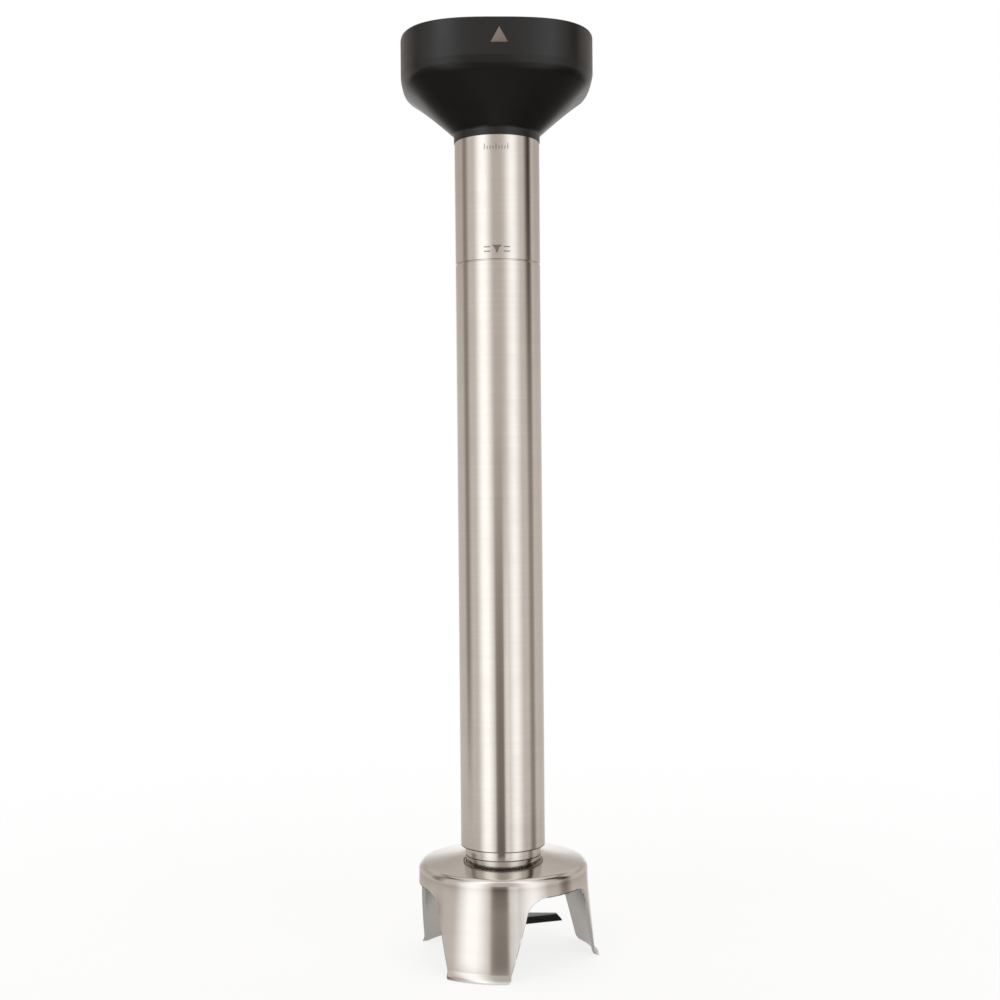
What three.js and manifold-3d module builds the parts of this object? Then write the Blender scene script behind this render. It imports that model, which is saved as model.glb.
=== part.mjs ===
// Detachable mixing arm of a hand-held immersion blender, standing on its blade guard.
// Millimetres, +Z up. The origin is on the arm's axis, in the plane that its feet stand on.
// The arrow on the coupling head faces -Y. An azimuth is an angle about +Z measured from -Y towards +X.

import * as THREE from 'three';
import { mergeVertices } from 'three/addons/utils/BufferGeometryUtils.js';
import Module from 'manifold-3d';

const wasm = await Module();
wasm.setup();

const degree = Math.PI / 180;

// ---------------------------------------------------------------- driving dimensions

// Blade guard, pressed from one sheet
const guardHeight = 42.0;        // foot plane to the roof where it meets the neck
const guardRadius = 34.9;        // outside of the wall under the shoulder
const guardSheet = 1.2;
const guardShoulderRadius = 2.8;
const roofSlope = 9 * degree;    // fall of the roof outside the flat round its hole
const guardFlareAngle = 5 * degree;
const lipRadius = 4.6;           // outward curl at the foot, outside surface
const lipStartHeight = 3.4;
const lipEndAngle = 56 * degree;
const legCount = 3;
const firstLegAzimuth = -18 * degree;
const windowHeight = 31.3;       // foot plane to the top of the opening between two legs
const windowFootHalfWidth = 24.6;
const windowSideAngle = 16.9 * degree;
const windowTopFillet = 8.2;
const legCornerFillet = 2.8;
const clampNutHeight = 4.8;
const clampNutWall = 3.4;
const spannerSlotWidth = 3.2;
const spannerSlotDepth = 1.6;
const spannerSlotHeight = 1.3;

// Steel tube and the joint under it
const neckHeight = 4.1;          // guard roof to the lower end of the tube
const neckInset = 1.8;           // neck radius below tube radius
const jointGrooveDepth = 0.5;    // groove in the neck just under the tube
const jointGrooveHeight = 0.6;
const tubeLength = 288.7;        // steel that shows between the neck and the head
const tubeRadius = 17.5;
const tubeWall = 1.2;
const levelGrooveDrop = 50.1;    // head's collar down to the middle of the fill-level groove
const levelGrooveWidth = 0.7;
const levelGrooveDepth = 0.3;
const tubeChamfer = 0.2;

// Coupling head
const headHalfWidth = 39.3;      // at the widest point of the shoulder
const headSquareness = 2.85;     // superellipse power of the square plan
const squarenessGrowth = 2.6;    // how late the cone turns from round to square
const bandInset = 0.25;
const bandHeight = 14.75;
const creaseHeight = 0.45;       // step between the shoulder and the band
const shoulderRadius = 6.2;
const headConeAngle = 41.7 * degree;
const collarHeight = 3.2;
const collarProud = 0.2;
const headWall = 3.4;
const headRimChamfer = 0.7;
const headFloorWall = 4.5;
const arrowWidth = 6.8;
const arrowHeight = 6.0;
const arrowRise = 4.8;           // bottom of the band to the arrow's base
const arrowThickness = 0.6;
const arrowProud = 0.05;

// Bayonet ring inside the head
const ringThickness = 3.0;
const ringWidth = 7.1;
const lugCount = 3;
const lugReach = 3.4;
const lugArc = 34 * degree;
const lugUnderStep = 0.8;        // lug's underside above the ring's
const ringScrewCount = 4;
const ringScrewRadius = 1.6;
const ringScrewHeadRadius = 2.8;
const ringScrewDepth = 6.0;      // thread in the head
const noseSealSection = 1.2;

// Flange that ties the tube to the head
const flangeThickness = 2.5;
const flangeHubRise = 2.6;       // bearing hub above the flange
const flangeHubWall = 3.3;
const flangeScrewLand = 0.5;     // around the screw heads
const flangeScrewCount = 4;
const flangeScrewRadius = 1.25;
const flangeScrewHeadRadius = 2.2;
const flangeScrewDepth = 4.4;    // thread in the head

// Shaft, bearings and seal
const shaftRadius = 4.0;
const bearingRadius = 11.0;
const bearingWidth = 7.0;
const ballCount = 7;
const ballShare = 0.283;         // ball radius as a share of the bearing's radial height
const clipThickness = 1.0;
const clipGrooveDepth = 0.9;
const clipLand = 1.2;            // housing left above a circlip
const housingShoulder = 5.0;     // under the upper bearing
const spigotWall = 1.7;          // outside the lower bearing's radius
const spigotBelowNut = 2.3;
const lowerBearingRise = 3.3;    // tube's lower end to the lower bearing
const lowerHousingRim = 4.4;     // above the lower circlip
const sleeveWall = 1.95;
const sealWidth = 6.6;
const sealRadialHeight = 3.4;
const sealInset = 1.6;           // spigot's lower end to the seal
const oRingSection = 0.9;
const garterSection = 0.35;
const guideHeight = 12.0;
const bushWall = 2.2;

// Drive coupling
const couplingRadius = 9.0;
const couplingLength = 13.5;
const couplingSocketRadius = 4.9;
const couplingSocketDepth = 7.4;
const fluteCount = 6;
const fluteRadius = 1.2;
const couplingPinRadius = 1.25;
const couplingChamfer = 1.2;
const couplingRise = 0.6;        // coupling's body above the bearing housing
const shaftChamfer = 0.6;

// Blade
const bladeRadius = 24.2;
const bladeThickness = 2.2;
const bladeHeight = 13.2;        // foot plane to the underside of the blade
const bladeAzimuth = 96 * degree;
const bladeRootHalfWidth = 5.4;
const bladeTipHalfWidth = 2.0;
const bladeBevelAngle = 48 * degree;
const hubRadius = 6.4;
const hubSkirtRadius = 8.6;
const hubSkirtHeight = 2.4;
const hubFlareHeight = 1.8;      // cone under the skirt
const hubDrop = 0.7;             // spigot's lower end to the hub
const bladeGrindLand = 0.25;     // thickness left at a ground edge
const washerThickness = 1.1;
const nutRadius = 6.2;
const nutHeight = 5.2;
const studThinning = 0.8;        // stud radius below shaft radius

// Clearances
const fitGap = 0.15;             // radial, between pieces pushed into one another
const seatGap = 0.1;             // axial, between faces that meet
const runningGap = 0.15;         // between pieces that turn past one another
const cutGap = 0.25;             // around a pin or screw in its hole
const boreRelief = 0.2;          // head's bore over the ring's, so that the lugs are clear below
const overcut = 1;               // how far a cutter reaches past what it cuts

// ---------------------------------------------------------------- heights worked out from them

const neckTop = guardHeight + neckHeight;
const tubeBottom = neckTop;
const headBottom = tubeBottom + tubeLength;

const collarRadius = tubeRadius + collarProud;
const coneBottom = headBottom + collarHeight;
const coneTopRadius = headHalfWidth - shoulderRadius * (1 - Math.sin(headConeAngle));
const coneTop = coneBottom + (coneTopRadius - collarRadius) * Math.tan(headConeAngle);
const shoulderTop = coneTop + shoulderRadius * Math.cos(headConeAngle);
const bandBottom = shoulderTop + creaseHeight;
const headTop = bandBottom + bandHeight;
const bandHalfWidth = headHalfWidth - bandInset;

const boreOfTube = tubeRadius - tubeWall;
const housingRadius = boreOfTube - fitGap;
const bearingSeatRadius = bearingRadius + fitGap;
const clipGrooveWidth = clipThickness + 2 * seatGap;
const ballRadius = ballShare * (bearingRadius - shaftRadius);
const ballPitchRadius = (bearingRadius + shaftRadius) / 2;

// Upper bearing housing: a flange on the head's floor, with a hub that stands above it
const flangeScrewCircle = tubeRadius + fitGap + flangeScrewHeadRadius + flangeScrewLand + seatGap;
const flangeRadius = flangeScrewCircle + flangeScrewHeadRadius + flangeScrewLand;
const headFloor = coneBottom + (flangeRadius - collarRadius) * Math.tan(headConeAngle) + headFloorWall;
const flangeBottom = headFloor + seatGap;
const upperHubTop = flangeBottom + flangeThickness + flangeHubRise;
const upperClipBottom = upperHubTop - clipThickness - clipLand;
const upperBearingTop = upperClipBottom - seatGap;
const upperBearingMiddle = upperBearingTop - bearingWidth / 2;
const upperBearingBottom = upperBearingTop - bearingWidth;
const throughBore = ballPitchRadius - 0.7;

// Inside of the head: a well over the flange, a sealed bore, and the ledge for the bayonet ring
const cavityHalfWidth = bandHalfWidth - headWall;
const ringRadius = cavityHalfWidth - fitGap;
const ringBoreRadius = ringRadius - ringWidth;
const wellFloorRadius = flangeRadius + fitGap;
const headBore = Math.max(ringBoreRadius + boreRelief, wellFloorRadius);
const wellSlopeTop = headFloor + (headBore - wellFloorRadius) * Math.tan(headConeAngle);
const screwHeadShare = 0.62;     // height of a screw head over its radius
const flangeScrewTop = flangeBottom + flangeThickness + seatGap + screwHeadShare * flangeScrewHeadRadius;
const noseGrooveHalf = noseSealSection + seatGap;
const noseGrooveLand = 0.3;
const noseSealHeight = Math.max(wellSlopeTop, flangeScrewTop) + noseGrooveLand + noseGrooveHalf;
const noseGrooveRadius = headBore + noseSealSection;
const ringScrewCircle = (ringRadius + ringBoreRadius) / 2;
const ledgeHeight = noseSealHeight + noseGrooveHalf + noseGrooveLand + ringScrewDepth + cutGap;

// Lower bearing housing: it ends in the spigot that the guard is clamped on
const spigotRadius = bearingRadius + spigotWall;
const clampNutRadius = spigotRadius + clampNutWall;
const clampNutTop = guardHeight - guardSheet - seatGap;
const spigotBottom = clampNutTop - clampNutHeight - spigotBelowNut;
const lowerShoulder = tubeBottom + lowerBearingRise;
const lowerBearingBottom = lowerShoulder + seatGap;
const lowerBearingMiddle = lowerBearingBottom + bearingWidth / 2;
const lowerBearingTop = lowerBearingBottom + bearingWidth;
const lowerClipBottom = lowerBearingTop + seatGap;
const lowerHousingTop = lowerClipBottom + clipThickness + lowerHousingRim;
const sleeveRadius = shaftRadius + fitGap + sleeveWall;
const sealInnerRadius = sleeveRadius + runningGap;
const sealOuterRadius = sealInnerRadius + sealRadialHeight;
const sealBottom = spigotBottom + sealInset;

// Rotor
const hubTop = spigotBottom - hubDrop;
const bladeTop = bladeHeight + bladeThickness;
const washerTop = bladeHeight - seatGap;
const nutTop = washerTop - washerThickness - seatGap;
const nutBottom = nutTop - nutHeight;
const studRadius = shaftRadius - studThinning;
const shaftBottom = nutTop - 0.7 * nutHeight;
const couplingBottom = upperHubTop + couplingRise;
const couplingTop = couplingBottom + couplingLength;
const shaftTop = couplingTop - couplingSocketDepth - 1.3;
const couplingPinHeight = (couplingBottom + shaftTop) / 2;

// ---------------------------------------------------------------- materials

const finish = (color, roughness, metalness) =>
  new THREE.MeshStandardMaterial({ color, roughness, metalness });

const blackPlastic = finish(0x1b1b1c, 0.5, 0);
const paleMark = finish(0x9a8d82, 0.6, 0);
const brushedSteel = finish(0xb9b4ac, 0.32, 1);
const polishedSteel = finish(0xc6c2bb, 0.12, 1);
const machinedSteel = finish(0x9d9d9b, 0.35, 1);
const bearingSteel = finish(0xa9abad, 0.18, 1);
const zincScrew = finish(0xb3b5b4, 0.3, 1);
const springSteel = finish(0x4d4f52, 0.4, 1);
const bladeCoating = finish(0x17181a, 0.28, 0.6);
const blackRubber = finish(0x121212, 0.85, 0);
const bronze = finish(0xa8773f, 0.4, 1);
const nylon = finish(0xd8d4c8, 0.6, 0);

// ---------------------------------------------------------------- building tools

const group = new THREE.Group();

function place(name, geometry, material, x = 0, y = 0, z = 0, turn = 0) {
  const mesh = new THREE.Mesh(geometry, material);
  mesh.name = name;
  mesh.position.set(x, y, z);
  mesh.rotation.z = turn;
  group.add(mesh);
}

// A point at a radius and azimuth
const around = (radius, azimuth) => [radius * Math.sin(azimuth), -radius * Math.cos(azimuth)];

// A solid of revolution about Z. The profile lists [radius, height] anticlockwise,
// and closes on itself unless it starts on the axis.
function turned(profile, segments) {
  const loop = profile[0][0] > 0 ? [...profile, profile[0]] : profile;
  const points = loop.map(([radius, height]) => new THREE.Vector2(radius, height));
  return new THREE.LatheGeometry(points, segments).rotateX(Math.PI / 2);
}

// A sleeve or washer
const ring = (inner, outer, bottom, top, segments) =>
  turned([[inner, bottom], [outer, bottom], [outer, top], [inner, top]], segments);

// A disc or pin
const rod = (radius, bottom, top, segments) =>
  turned([[0, bottom], [radius, bottom], [radius, top], [0, top]], segments);

// A flat outline pushed up along Z
const plate = (shape, depth, curveSegments) =>
  new THREE.ExtrudeGeometry(shape, { depth, bevelEnabled: false, curveSegments });

// A round-section ring lying in the XY plane
const torus = (middleRadius, sectionRadius, segments) =>
  new THREE.TorusGeometry(middleRadius, sectionRadius, 6, segments);

// A skin over stacked rings of points, closed by a fan at each end
function lofted(rings) {
  const count = rings[0].length;
  const positions = rings.flat(2);
  const indices = [];
  const middle = (points) => {
    const sum = points.reduce((a, p) => [a[0] + p[0], a[1] + p[1], a[2] + p[2]], [0, 0, 0]);
    positions.push(...sum.map((value) => value / count));
    return positions.length / 3 - 1;
  };
  const bottomMiddle = middle(rings[0]);
  const topMiddle = middle(rings[rings.length - 1]);
  const topStart = (rings.length - 1) * count;
  for (let k = 0; k < count; k++) {
    const next = (k + 1) % count;
    indices.push(bottomMiddle, next, k);
    indices.push(topMiddle, topStart + k, topStart + next);
    for (let level = 0; level < rings.length - 1; level++) {
      const low = level * count;
      const high = low + count;
      indices.push(low + k, low + next, high + next);
      indices.push(low + k, high + next, high + k);
    }
  }
  const geometry = new THREE.BufferGeometry();
  geometry.setAttribute('position', new THREE.Float32BufferAttribute(positions, 3));
  geometry.setIndex(indices);
  return geometry;
}

// Points of a superellipse whose power runs from a circle (2) to a rounded square
function squircle(halfWidth, power, height, count) {
  return Array.from({ length: count }, (_, k) => {
    const angle = (2 * Math.PI * k) / count;
    const across = Math.abs(Math.cos(angle)) ** power + Math.abs(Math.sin(angle)) ** power;
    const radius = halfWidth / across ** (1 / power);
    return [radius * Math.cos(angle), radius * Math.sin(angle), height];
  });
}

function toSolid(geometry) {
  const bare = new THREE.BufferGeometry();
  bare.setAttribute('position', geometry.getAttribute('position'));
  bare.setIndex(geometry.getIndex());
  const merged = mergeVertices(bare, 1e-4);
  const index = merged.getIndex().array;
  const triangles = [];
  for (let i = 0; i < index.length; i += 3) {
    const [a, b, c] = [index[i], index[i + 1], index[i + 2]];
    if (a !== b && b !== c && c !== a) triangles.push(a, b, c);
  }
  return new wasm.Manifold(new wasm.Mesh({
    numProp: 3,
    vertProperties: new Float32Array(merged.getAttribute('position').array),
    triVerts: new Uint32Array(triangles),
  }));
}

function toGeometry(solid) {
  const mesh = solid.getMesh();
  const geometry = new THREE.BufferGeometry();
  geometry.setAttribute('position', new THREE.BufferAttribute(mesh.vertProperties, 3));
  geometry.setIndex(new THREE.BufferAttribute(mesh.triVerts, 1));
  return geometry;
}

// A geometry with others cut out of it
function cut(geometry, cutters) {
  const left = cutters.reduce((solid, cutter) => solid.subtract(toSolid(cutter)), toSolid(geometry));
  return toGeometry(left);
}

// Several overlapping geometries joined into one
function joined(geometries) {
  const [first, ...others] = geometries;
  return toGeometry(others.reduce((solid, other) => solid.add(toSolid(other)), toSolid(first)));
}

const times = (count, make) => Array.from({ length: count }, (_, k) => make(k));

// ---------------------------------------------------------------- blade guard

const roofFlatRadius = clampNutRadius + 0.5;
const lipStartRadius = guardRadius + (windowHeight - lipStartHeight) * Math.tan(guardFlareAngle);

// One face of the sheet's foot curl, from the wall down to the foot plane; depth is 0 outside
function lipCurve(depth, steps) {
  const curl = lipRadius + depth;
  const startZ = lipStartHeight - depth * Math.sin(guardFlareAngle);
  const endSine = Math.sin(guardFlareAngle) + startZ / curl;
  const endAngle = Math.asin(Math.min(endSine, Math.sin(lipEndAngle)));
  return times(steps + 1, (k) => {
    const angle = guardFlareAngle + ((endAngle - guardFlareAngle) * k) / steps;
    const radius = lipStartRadius - depth * Math.cos(guardFlareAngle)
      + curl * (Math.cos(guardFlareAngle) - Math.cos(angle));
    const height = startZ - curl * (Math.sin(angle) - Math.sin(guardFlareAngle));
    return [radius, k === steps ? 0 : height];
  });
}

// One face of the sheet from the wall over the shoulder to the flat that the neck sits on
function guardRoof(depth, steps) {
  const middleRadius = guardRadius - guardShoulderRadius;
  const fall = (middleRadius - roofFlatRadius) * Math.tan(roofSlope);
  const middleHeight = guardHeight - fall - guardShoulderRadius / Math.cos(roofSlope);
  const radius = guardShoulderRadius - depth;
  const shoulder = times(steps + 1, (k) => {
    const angle = (Math.PI / 2 - roofSlope) * (k / steps);
    return [middleRadius + radius * Math.cos(angle), middleHeight + radius * Math.sin(angle)];
  });
  const flatEdge = roofFlatRadius - depth * Math.tan(roofSlope / 2);
  return [...shoulder, [flatEdge, guardHeight - depth]];
}

// The opening between two legs, drawn as [sideways, up] and punched straight through the wall
function windowCutter(azimuth) {
  const sine = Math.sin(windowSideAngle);
  const cosine = Math.cos(windowSideAngle);
  const footSlide = (legCornerFillet * (1 - sine)) / cosine;
  const footCentre = windowFootHalfWidth - footSlide * sine + legCornerFillet * cosine;
  const topSlide = (windowHeight - windowTopFillet + windowTopFillet * sine) / cosine;
  const topCentre = windowFootHalfWidth - topSlide * sine - windowTopFillet * cosine;
  const topHeight = windowHeight - windowTopFillet;
  const below = -2;
  const shape = new THREE.Shape();
  shape.moveTo(footCentre, below);
  shape.absarc(footCentre, legCornerFillet, legCornerFillet, 1.5 * Math.PI, Math.PI + windowSideAngle, true);
  shape.absarc(topCentre, topHeight, windowTopFillet, windowSideAngle, Math.PI / 2, false);
  shape.absarc(-topCentre, topHeight, windowTopFillet, Math.PI / 2, Math.PI - windowSideAngle, false);
  shape.absarc(-footCentre, legCornerFillet, legCornerFillet, -windowSideAngle, -0.5 * Math.PI, true);
  shape.lineTo(-footCentre, below);
  const nearest = guardRadius / 2;
  const cutter = plate(shape, guardRadius, 3);
  cutter.rotateX(Math.PI / 2).translate(0, -nearest, 0).rotateZ(azimuth);
  return cutter;
}

function bladeGuard() {
  const outside = [
    ...lipCurve(0, 3).reverse(),
    [guardRadius, windowHeight],
    ...guardRoof(0, 3),
  ];
  const inside = [
    ...guardRoof(guardSheet, 2).reverse(),
    [guardRadius - guardSheet, windowHeight],
    ...lipCurve(guardSheet, 2),
  ];
  const hole = spigotRadius + fitGap;
  const roof = [[hole, guardHeight], [hole, guardHeight - guardSheet]];
  const shell = turned([...outside, ...roof, ...inside], 54);
  const gap = (2 * Math.PI) / legCount;
  const windows = times(legCount, (k) => windowCutter(firstLegAzimuth + (k + 0.5) * gap));
  return cut(shell, windows);
}

// ---------------------------------------------------------------- coupling head

// Half width and squareness of the outside at each height, from the collar to the rim
function headSections() {
  const squarenessAt = (height) => {
    const share = Math.min(1, Math.max(0, (height - coneBottom) / (coneTop - coneBottom)));
    return 2 + (headSquareness - 2) * share ** squarenessGrowth;
  };
  const section = (height, halfWidth) => ({ height, halfWidth, power: squarenessAt(height) });
  const coneSteps = 4;
  const cone = times(coneSteps + 1, (k) => {
    const share = k / coneSteps;
    const height = coneBottom + (coneTop - coneBottom) * share;
    return section(height, collarRadius + (coneTopRadius - collarRadius) * share);
  });
  const arcSteps = 3;
  const arc = times(arcSteps, (k) => {
    const angle = (Math.PI / 2 - headConeAngle) * (1 - (k + 1) / arcSteps);
    const halfWidth = headHalfWidth - shoulderRadius * (1 - Math.cos(angle));
    return section(shoulderTop - shoulderRadius * Math.sin(angle), halfWidth);
  });
  return [
    section(headBottom, collarRadius),
    ...cone,
    ...arc,
    section(bandBottom - bandInset, headHalfWidth),
    section(bandBottom, bandHalfWidth),
    section(headTop - headRimChamfer, bandHalfWidth),
    section(headTop, bandHalfWidth - headRimChamfer),
  ];
}

const screwAzimuth = (k, count) => (2 * Math.PI * (k + 0.5)) / count;

// The arrow's outline, or its pocket's, which stands off every side by grow
function arrowPrism(grow, depth) {
  const shape = new THREE.Shape();
  const side = 2.2 * grow;
  shape.moveTo(-arrowWidth / 2 - side, -grow);
  shape.lineTo(arrowWidth / 2 + side, -grow);
  shape.lineTo(0, arrowHeight + side);
  shape.closePath();
  return plate(shape, depth, 1).rotateX(Math.PI / 2);
}

const arrowBase = bandBottom + arrowRise;
const arrowBack = bandHalfWidth - arrowThickness;

function couplingHead() {
  const outside = headSections().map(({ height, halfWidth, power }) =>
    squircle(halfWidth, power, height, 48));
  const above = headTop + overcut;
  const cavity = lofted([
    squircle(cavityHalfWidth, headSquareness, ledgeHeight, 48),
    squircle(cavityHalfWidth, headSquareness, above, 48),
  ]);
  const grooveBottom = noseSealHeight - noseGrooveHalf;
  const grooveTop = noseSealHeight + noseGrooveHalf;
  const well = turned([
    [0, headFloor], [wellFloorRadius, headFloor], [headBore, wellSlopeTop],
    [headBore, grooveBottom], [noseGrooveRadius, grooveBottom],
    [noseGrooveRadius, grooveTop], [headBore, grooveTop], [headBore, above], [0, above],
  ], 36);
  const tubeBore = rod(tubeRadius + fitGap, headBottom - overcut, above, 36);
  const ringPilots = times(ringScrewCount, (k) => {
    const [x, y] = around(ringScrewCircle, screwAzimuth(k, ringScrewCount));
    const bottom = ledgeHeight - ringScrewDepth - cutGap;
    return rod(ringScrewRadius + cutGap, bottom, ledgeHeight + overcut, 8).translate(x, y, 0);
  });
  const flangePilots = times(flangeScrewCount, (k) => {
    const [x, y] = around(flangeScrewCircle, screwAzimuth(k, flangeScrewCount));
    const bottom = headFloor - flangeScrewDepth - cutGap;
    return rod(flangeScrewRadius + cutGap, bottom, headFloor + overcut, 8).translate(x, y, 0);
  });
  const pocket = arrowPrism(cutGap, arrowThickness + overcut).translate(0, -arrowBack + cutGap, arrowBase);
  return cut(lofted(outside), [cavity, well, tubeBore, ...ringPilots, ...flangePilots, pocket]);
}

// ---------------------------------------------------------------- bayonet ring and screws

function bayonetRing() {
  const bottom = ledgeHeight + seatGap;
  const body = ring(ringBoreRadius, ringRadius, bottom, bottom + ringThickness, 36);
  const lugs = times(lugCount, (k) => {
    const half = lugArc / 2;
    const inner = ringBoreRadius - lugReach;
    const shape = new THREE.Shape();
    shape.absarc(0, 0, ringBoreRadius + 1, -half, half, false);
    shape.absarc(0, 0, inner, half, -half, true);
    const lug = plate(shape, ringThickness - lugUnderStep, 3);
    return lug.translate(0, 0, bottom + lugUnderStep).rotateZ((2 * Math.PI * k) / lugCount - Math.PI / 2);
  });
  const holes = times(ringScrewCount, (k) => {
    const [x, y] = around(ringScrewCircle, screwAzimuth(k, ringScrewCount));
    const hole = rod(ringScrewRadius + cutGap, bottom - overcut, bottom + ringThickness + overcut, 8);
    return hole.translate(x, y, 0);
  });
  return cut(joined([body, ...lugs]), holes);
}

// A pan-head screw with a hexagon socket; its head rests on height 0 and its shank goes down
function panScrew(shankRadius, headRadius, shankLength) {
  const headHeight = screwHeadShare * headRadius;
  const body = turned([
    [0, -shankLength], [0.6 * shankRadius, -shankLength], [shankRadius, -shankLength + 0.5 * shankRadius],
    [shankRadius, 0], [headRadius, 0], [headRadius, 0.6 * headHeight], [0.7 * headRadius, headHeight],
    [0, headHeight],
  ], 12);
  const socket = rod(0.48 * headRadius, 0.3 * headHeight, headHeight + overcut, 6);
  return cut(body, [socket]);
}

function screws(name, count, circle, seat, shankRadius, headRadius, length) {
  for (let k = 0; k < count; k++) {
    const [x, y] = around(circle, screwAzimuth(k, count));
    place(`${name}_${k + 1}`, panScrew(shankRadius, headRadius, length), zincScrew, x, y, seat + seatGap);
  }
}

// ---------------------------------------------------------------- bearing housings

function upperBearingHousing() {
  const seat = upperBearingBottom - seatGap;
  const bottom = seat - housingShoulder;
  const hubRadiusOutside = bearingRadius + flangeHubWall;
  const groove = bearingSeatRadius + clipGrooveDepth;
  const grooveBottom = upperClipBottom - seatGap / 2;
  const body = turned([
    [throughBore, bottom], [housingRadius, bottom], [housingRadius, flangeBottom],
    [flangeRadius, flangeBottom], [flangeRadius, flangeBottom + flangeThickness],
    [hubRadiusOutside, flangeBottom + flangeThickness], [hubRadiusOutside, upperHubTop],
    [bearingSeatRadius, upperHubTop], [bearingSeatRadius, grooveBottom + clipGrooveWidth],
    [groove, grooveBottom + clipGrooveWidth], [groove, grooveBottom], [bearingSeatRadius, grooveBottom],
    [bearingSeatRadius, seat], [throughBore, seat],
  ], 28);
  const holes = times(flangeScrewCount, (k) => {
    const [x, y] = around(flangeScrewCircle, screwAzimuth(k, flangeScrewCount));
    const top = flangeBottom + flangeThickness + overcut;
    return rod(flangeScrewRadius + cutGap, flangeBottom - overcut, top, 8).translate(x, y, 0);
  });
  return cut(body, holes);
}

const oRingHeight = lowerShoulder + bearingWidth + 2.2;
const oRingGroove = boreOfTube - 2 * oRingSection - fitGap;

function lowerBearingHousing() {
  const neckRadius = tubeRadius - neckInset;
  const groove = bearingSeatRadius + clipGrooveDepth;
  const grooveBottom = lowerClipBottom - seatGap / 2;
  const half = oRingSection + seatGap;
  const sealSeat = sealOuterRadius + fitGap;
  const shaftRoom = throughBore + 0.6;
  return turned([
    [sealSeat, spigotBottom], [spigotRadius, spigotBottom], [spigotRadius, guardHeight + seatGap],
    [neckRadius, guardHeight + seatGap], [neckRadius, neckTop - jointGrooveHeight],
    [neckRadius - jointGrooveDepth, neckTop - jointGrooveHeight + tubeChamfer],
    [neckRadius - jointGrooveDepth, neckTop + tubeChamfer], [housingRadius, neckTop + 2 * tubeChamfer],
    [housingRadius, oRingHeight - half], [oRingGroove, oRingHeight - half],
    [oRingGroove, oRingHeight + half], [housingRadius, oRingHeight + half],
    [housingRadius, lowerHousingTop], [bearingSeatRadius, lowerHousingTop],
    [bearingSeatRadius, grooveBottom + clipGrooveWidth], [groove, grooveBottom + clipGrooveWidth],
    [groove, grooveBottom], [bearingSeatRadius, grooveBottom],
    [bearingSeatRadius, lowerShoulder], [shaftRoom, lowerShoulder],
    [shaftRoom, sealBottom + sealWidth + seatGap], [sealSeat, sealBottom + sealWidth + seatGap],
  ], 28);
}

// ---------------------------------------------------------------- ball bearings and circlips

const raceShoulder = 0.85 * ballRadius;

// Heights and depths of the groove that the balls run in, as seen from the pitch circle
function raceGroove(steps) {
  const radius = ballRadius + runningGap;
  const reach = Math.acos(raceShoulder / radius);
  return times(steps + 1, (k) => {
    const angle = -reach + (2 * reach * k) / steps;
    return [radius * Math.cos(angle), radius * Math.sin(angle)];
  });
}

function outerRace() {
  const half = bearingWidth / 2;
  const land = ballPitchRadius + raceShoulder;
  const groove = raceGroove(4).reverse().map(([depth, height]) => [ballPitchRadius + depth, height]);
  return turned([[land, -half], [bearingRadius, -half], [bearingRadius, half], [land, half], ...groove], 24);
}

function innerRace() {
  const half = bearingWidth / 2;
  const land = ballPitchRadius - raceShoulder;
  const bore = shaftRadius + fitGap / 2;
  const groove = raceGroove(4).map(([depth, height]) => [ballPitchRadius - depth, height]);
  return turned([[bore, -half], [land, -half], ...groove, [land, half], [bore, half]], 24);
}

// The cage with its balls, which go round the shaft together
function ballCage() {
  const half = 0.45 * ballRadius;
  const reach = 0.55 * raceShoulder;
  const band = ring(ballPitchRadius - reach, ballPitchRadius + reach, -half, half, 21);
  const balls = times(ballCount, (k) => {
    const [x, y] = around(ballPitchRadius, (2 * Math.PI * k) / ballCount);
    return new THREE.SphereGeometry(ballRadius, 8, 6).rotateX(Math.PI / 2).translate(x, y, 0);
  });
  return joined([band, ...balls]);
}

// An open spring ring; its two ears stand on the edge at earedRadius, away from plainRadius
function circlip(plainRadius, earedRadius) {
  const away = Math.sign(earedRadius - plainRadius);
  const earRadius = earedRadius + 1.1 * away;
  const start = 14 * degree;
  const end = 2 * Math.PI - start;
  const ear = 11 * degree;
  const shape = new THREE.Shape();
  const cornerTo = (angle) => shape.lineTo(earRadius * Math.cos(angle), earRadius * Math.sin(angle));
  shape.absarc(0, 0, plainRadius, start, end, false);
  cornerTo(end);
  cornerTo(end - ear);
  shape.absarc(0, 0, earedRadius, end - ear, start + ear, true);
  cornerTo(start + ear);
  cornerTo(start);
  return plate(shape, clipThickness, 10);
}

const housingClip = () => {
  const outer = bearingSeatRadius + clipGrooveDepth - fitGap;
  return circlip(outer, outer - 2.0);
};

const shaftGrooveRadius = shaftRadius - 0.5;
const shaftClip = () => circlip(shaftGrooveRadius + fitGap / 2, shaftRadius + 0.75);

// ---------------------------------------------------------------- seal and middle guide

function lipSeal() {
  const top = sealBottom + sealWidth;
  const wall = 0.35 * sealRadialHeight;
  const lipOuter = sealInnerRadius + 0.3 * sealRadialHeight;
  const base = top - 0.18 * sealWidth;
  const lipHeight = sealBottom + 0.35 * sealWidth;
  return turned([
    [lipOuter - 0.4, sealBottom + 0.6], [lipOuter, sealBottom + 0.6], [lipOuter, base],
    [sealOuterRadius - wall, base], [sealOuterRadius - wall, sealBottom], [sealOuterRadius, sealBottom],
    [sealOuterRadius, top], [lipOuter, top], [sealInnerRadius, lipHeight],
  ], 24);
}

const garterRadius = sealInnerRadius + 0.3 * sealRadialHeight + garterSection + 0.06;
const guideMiddle = (lowerHousingTop + upperBearingBottom - housingShoulder) / 2;
const bushRadius = shaftRadius + bushWall;

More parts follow.
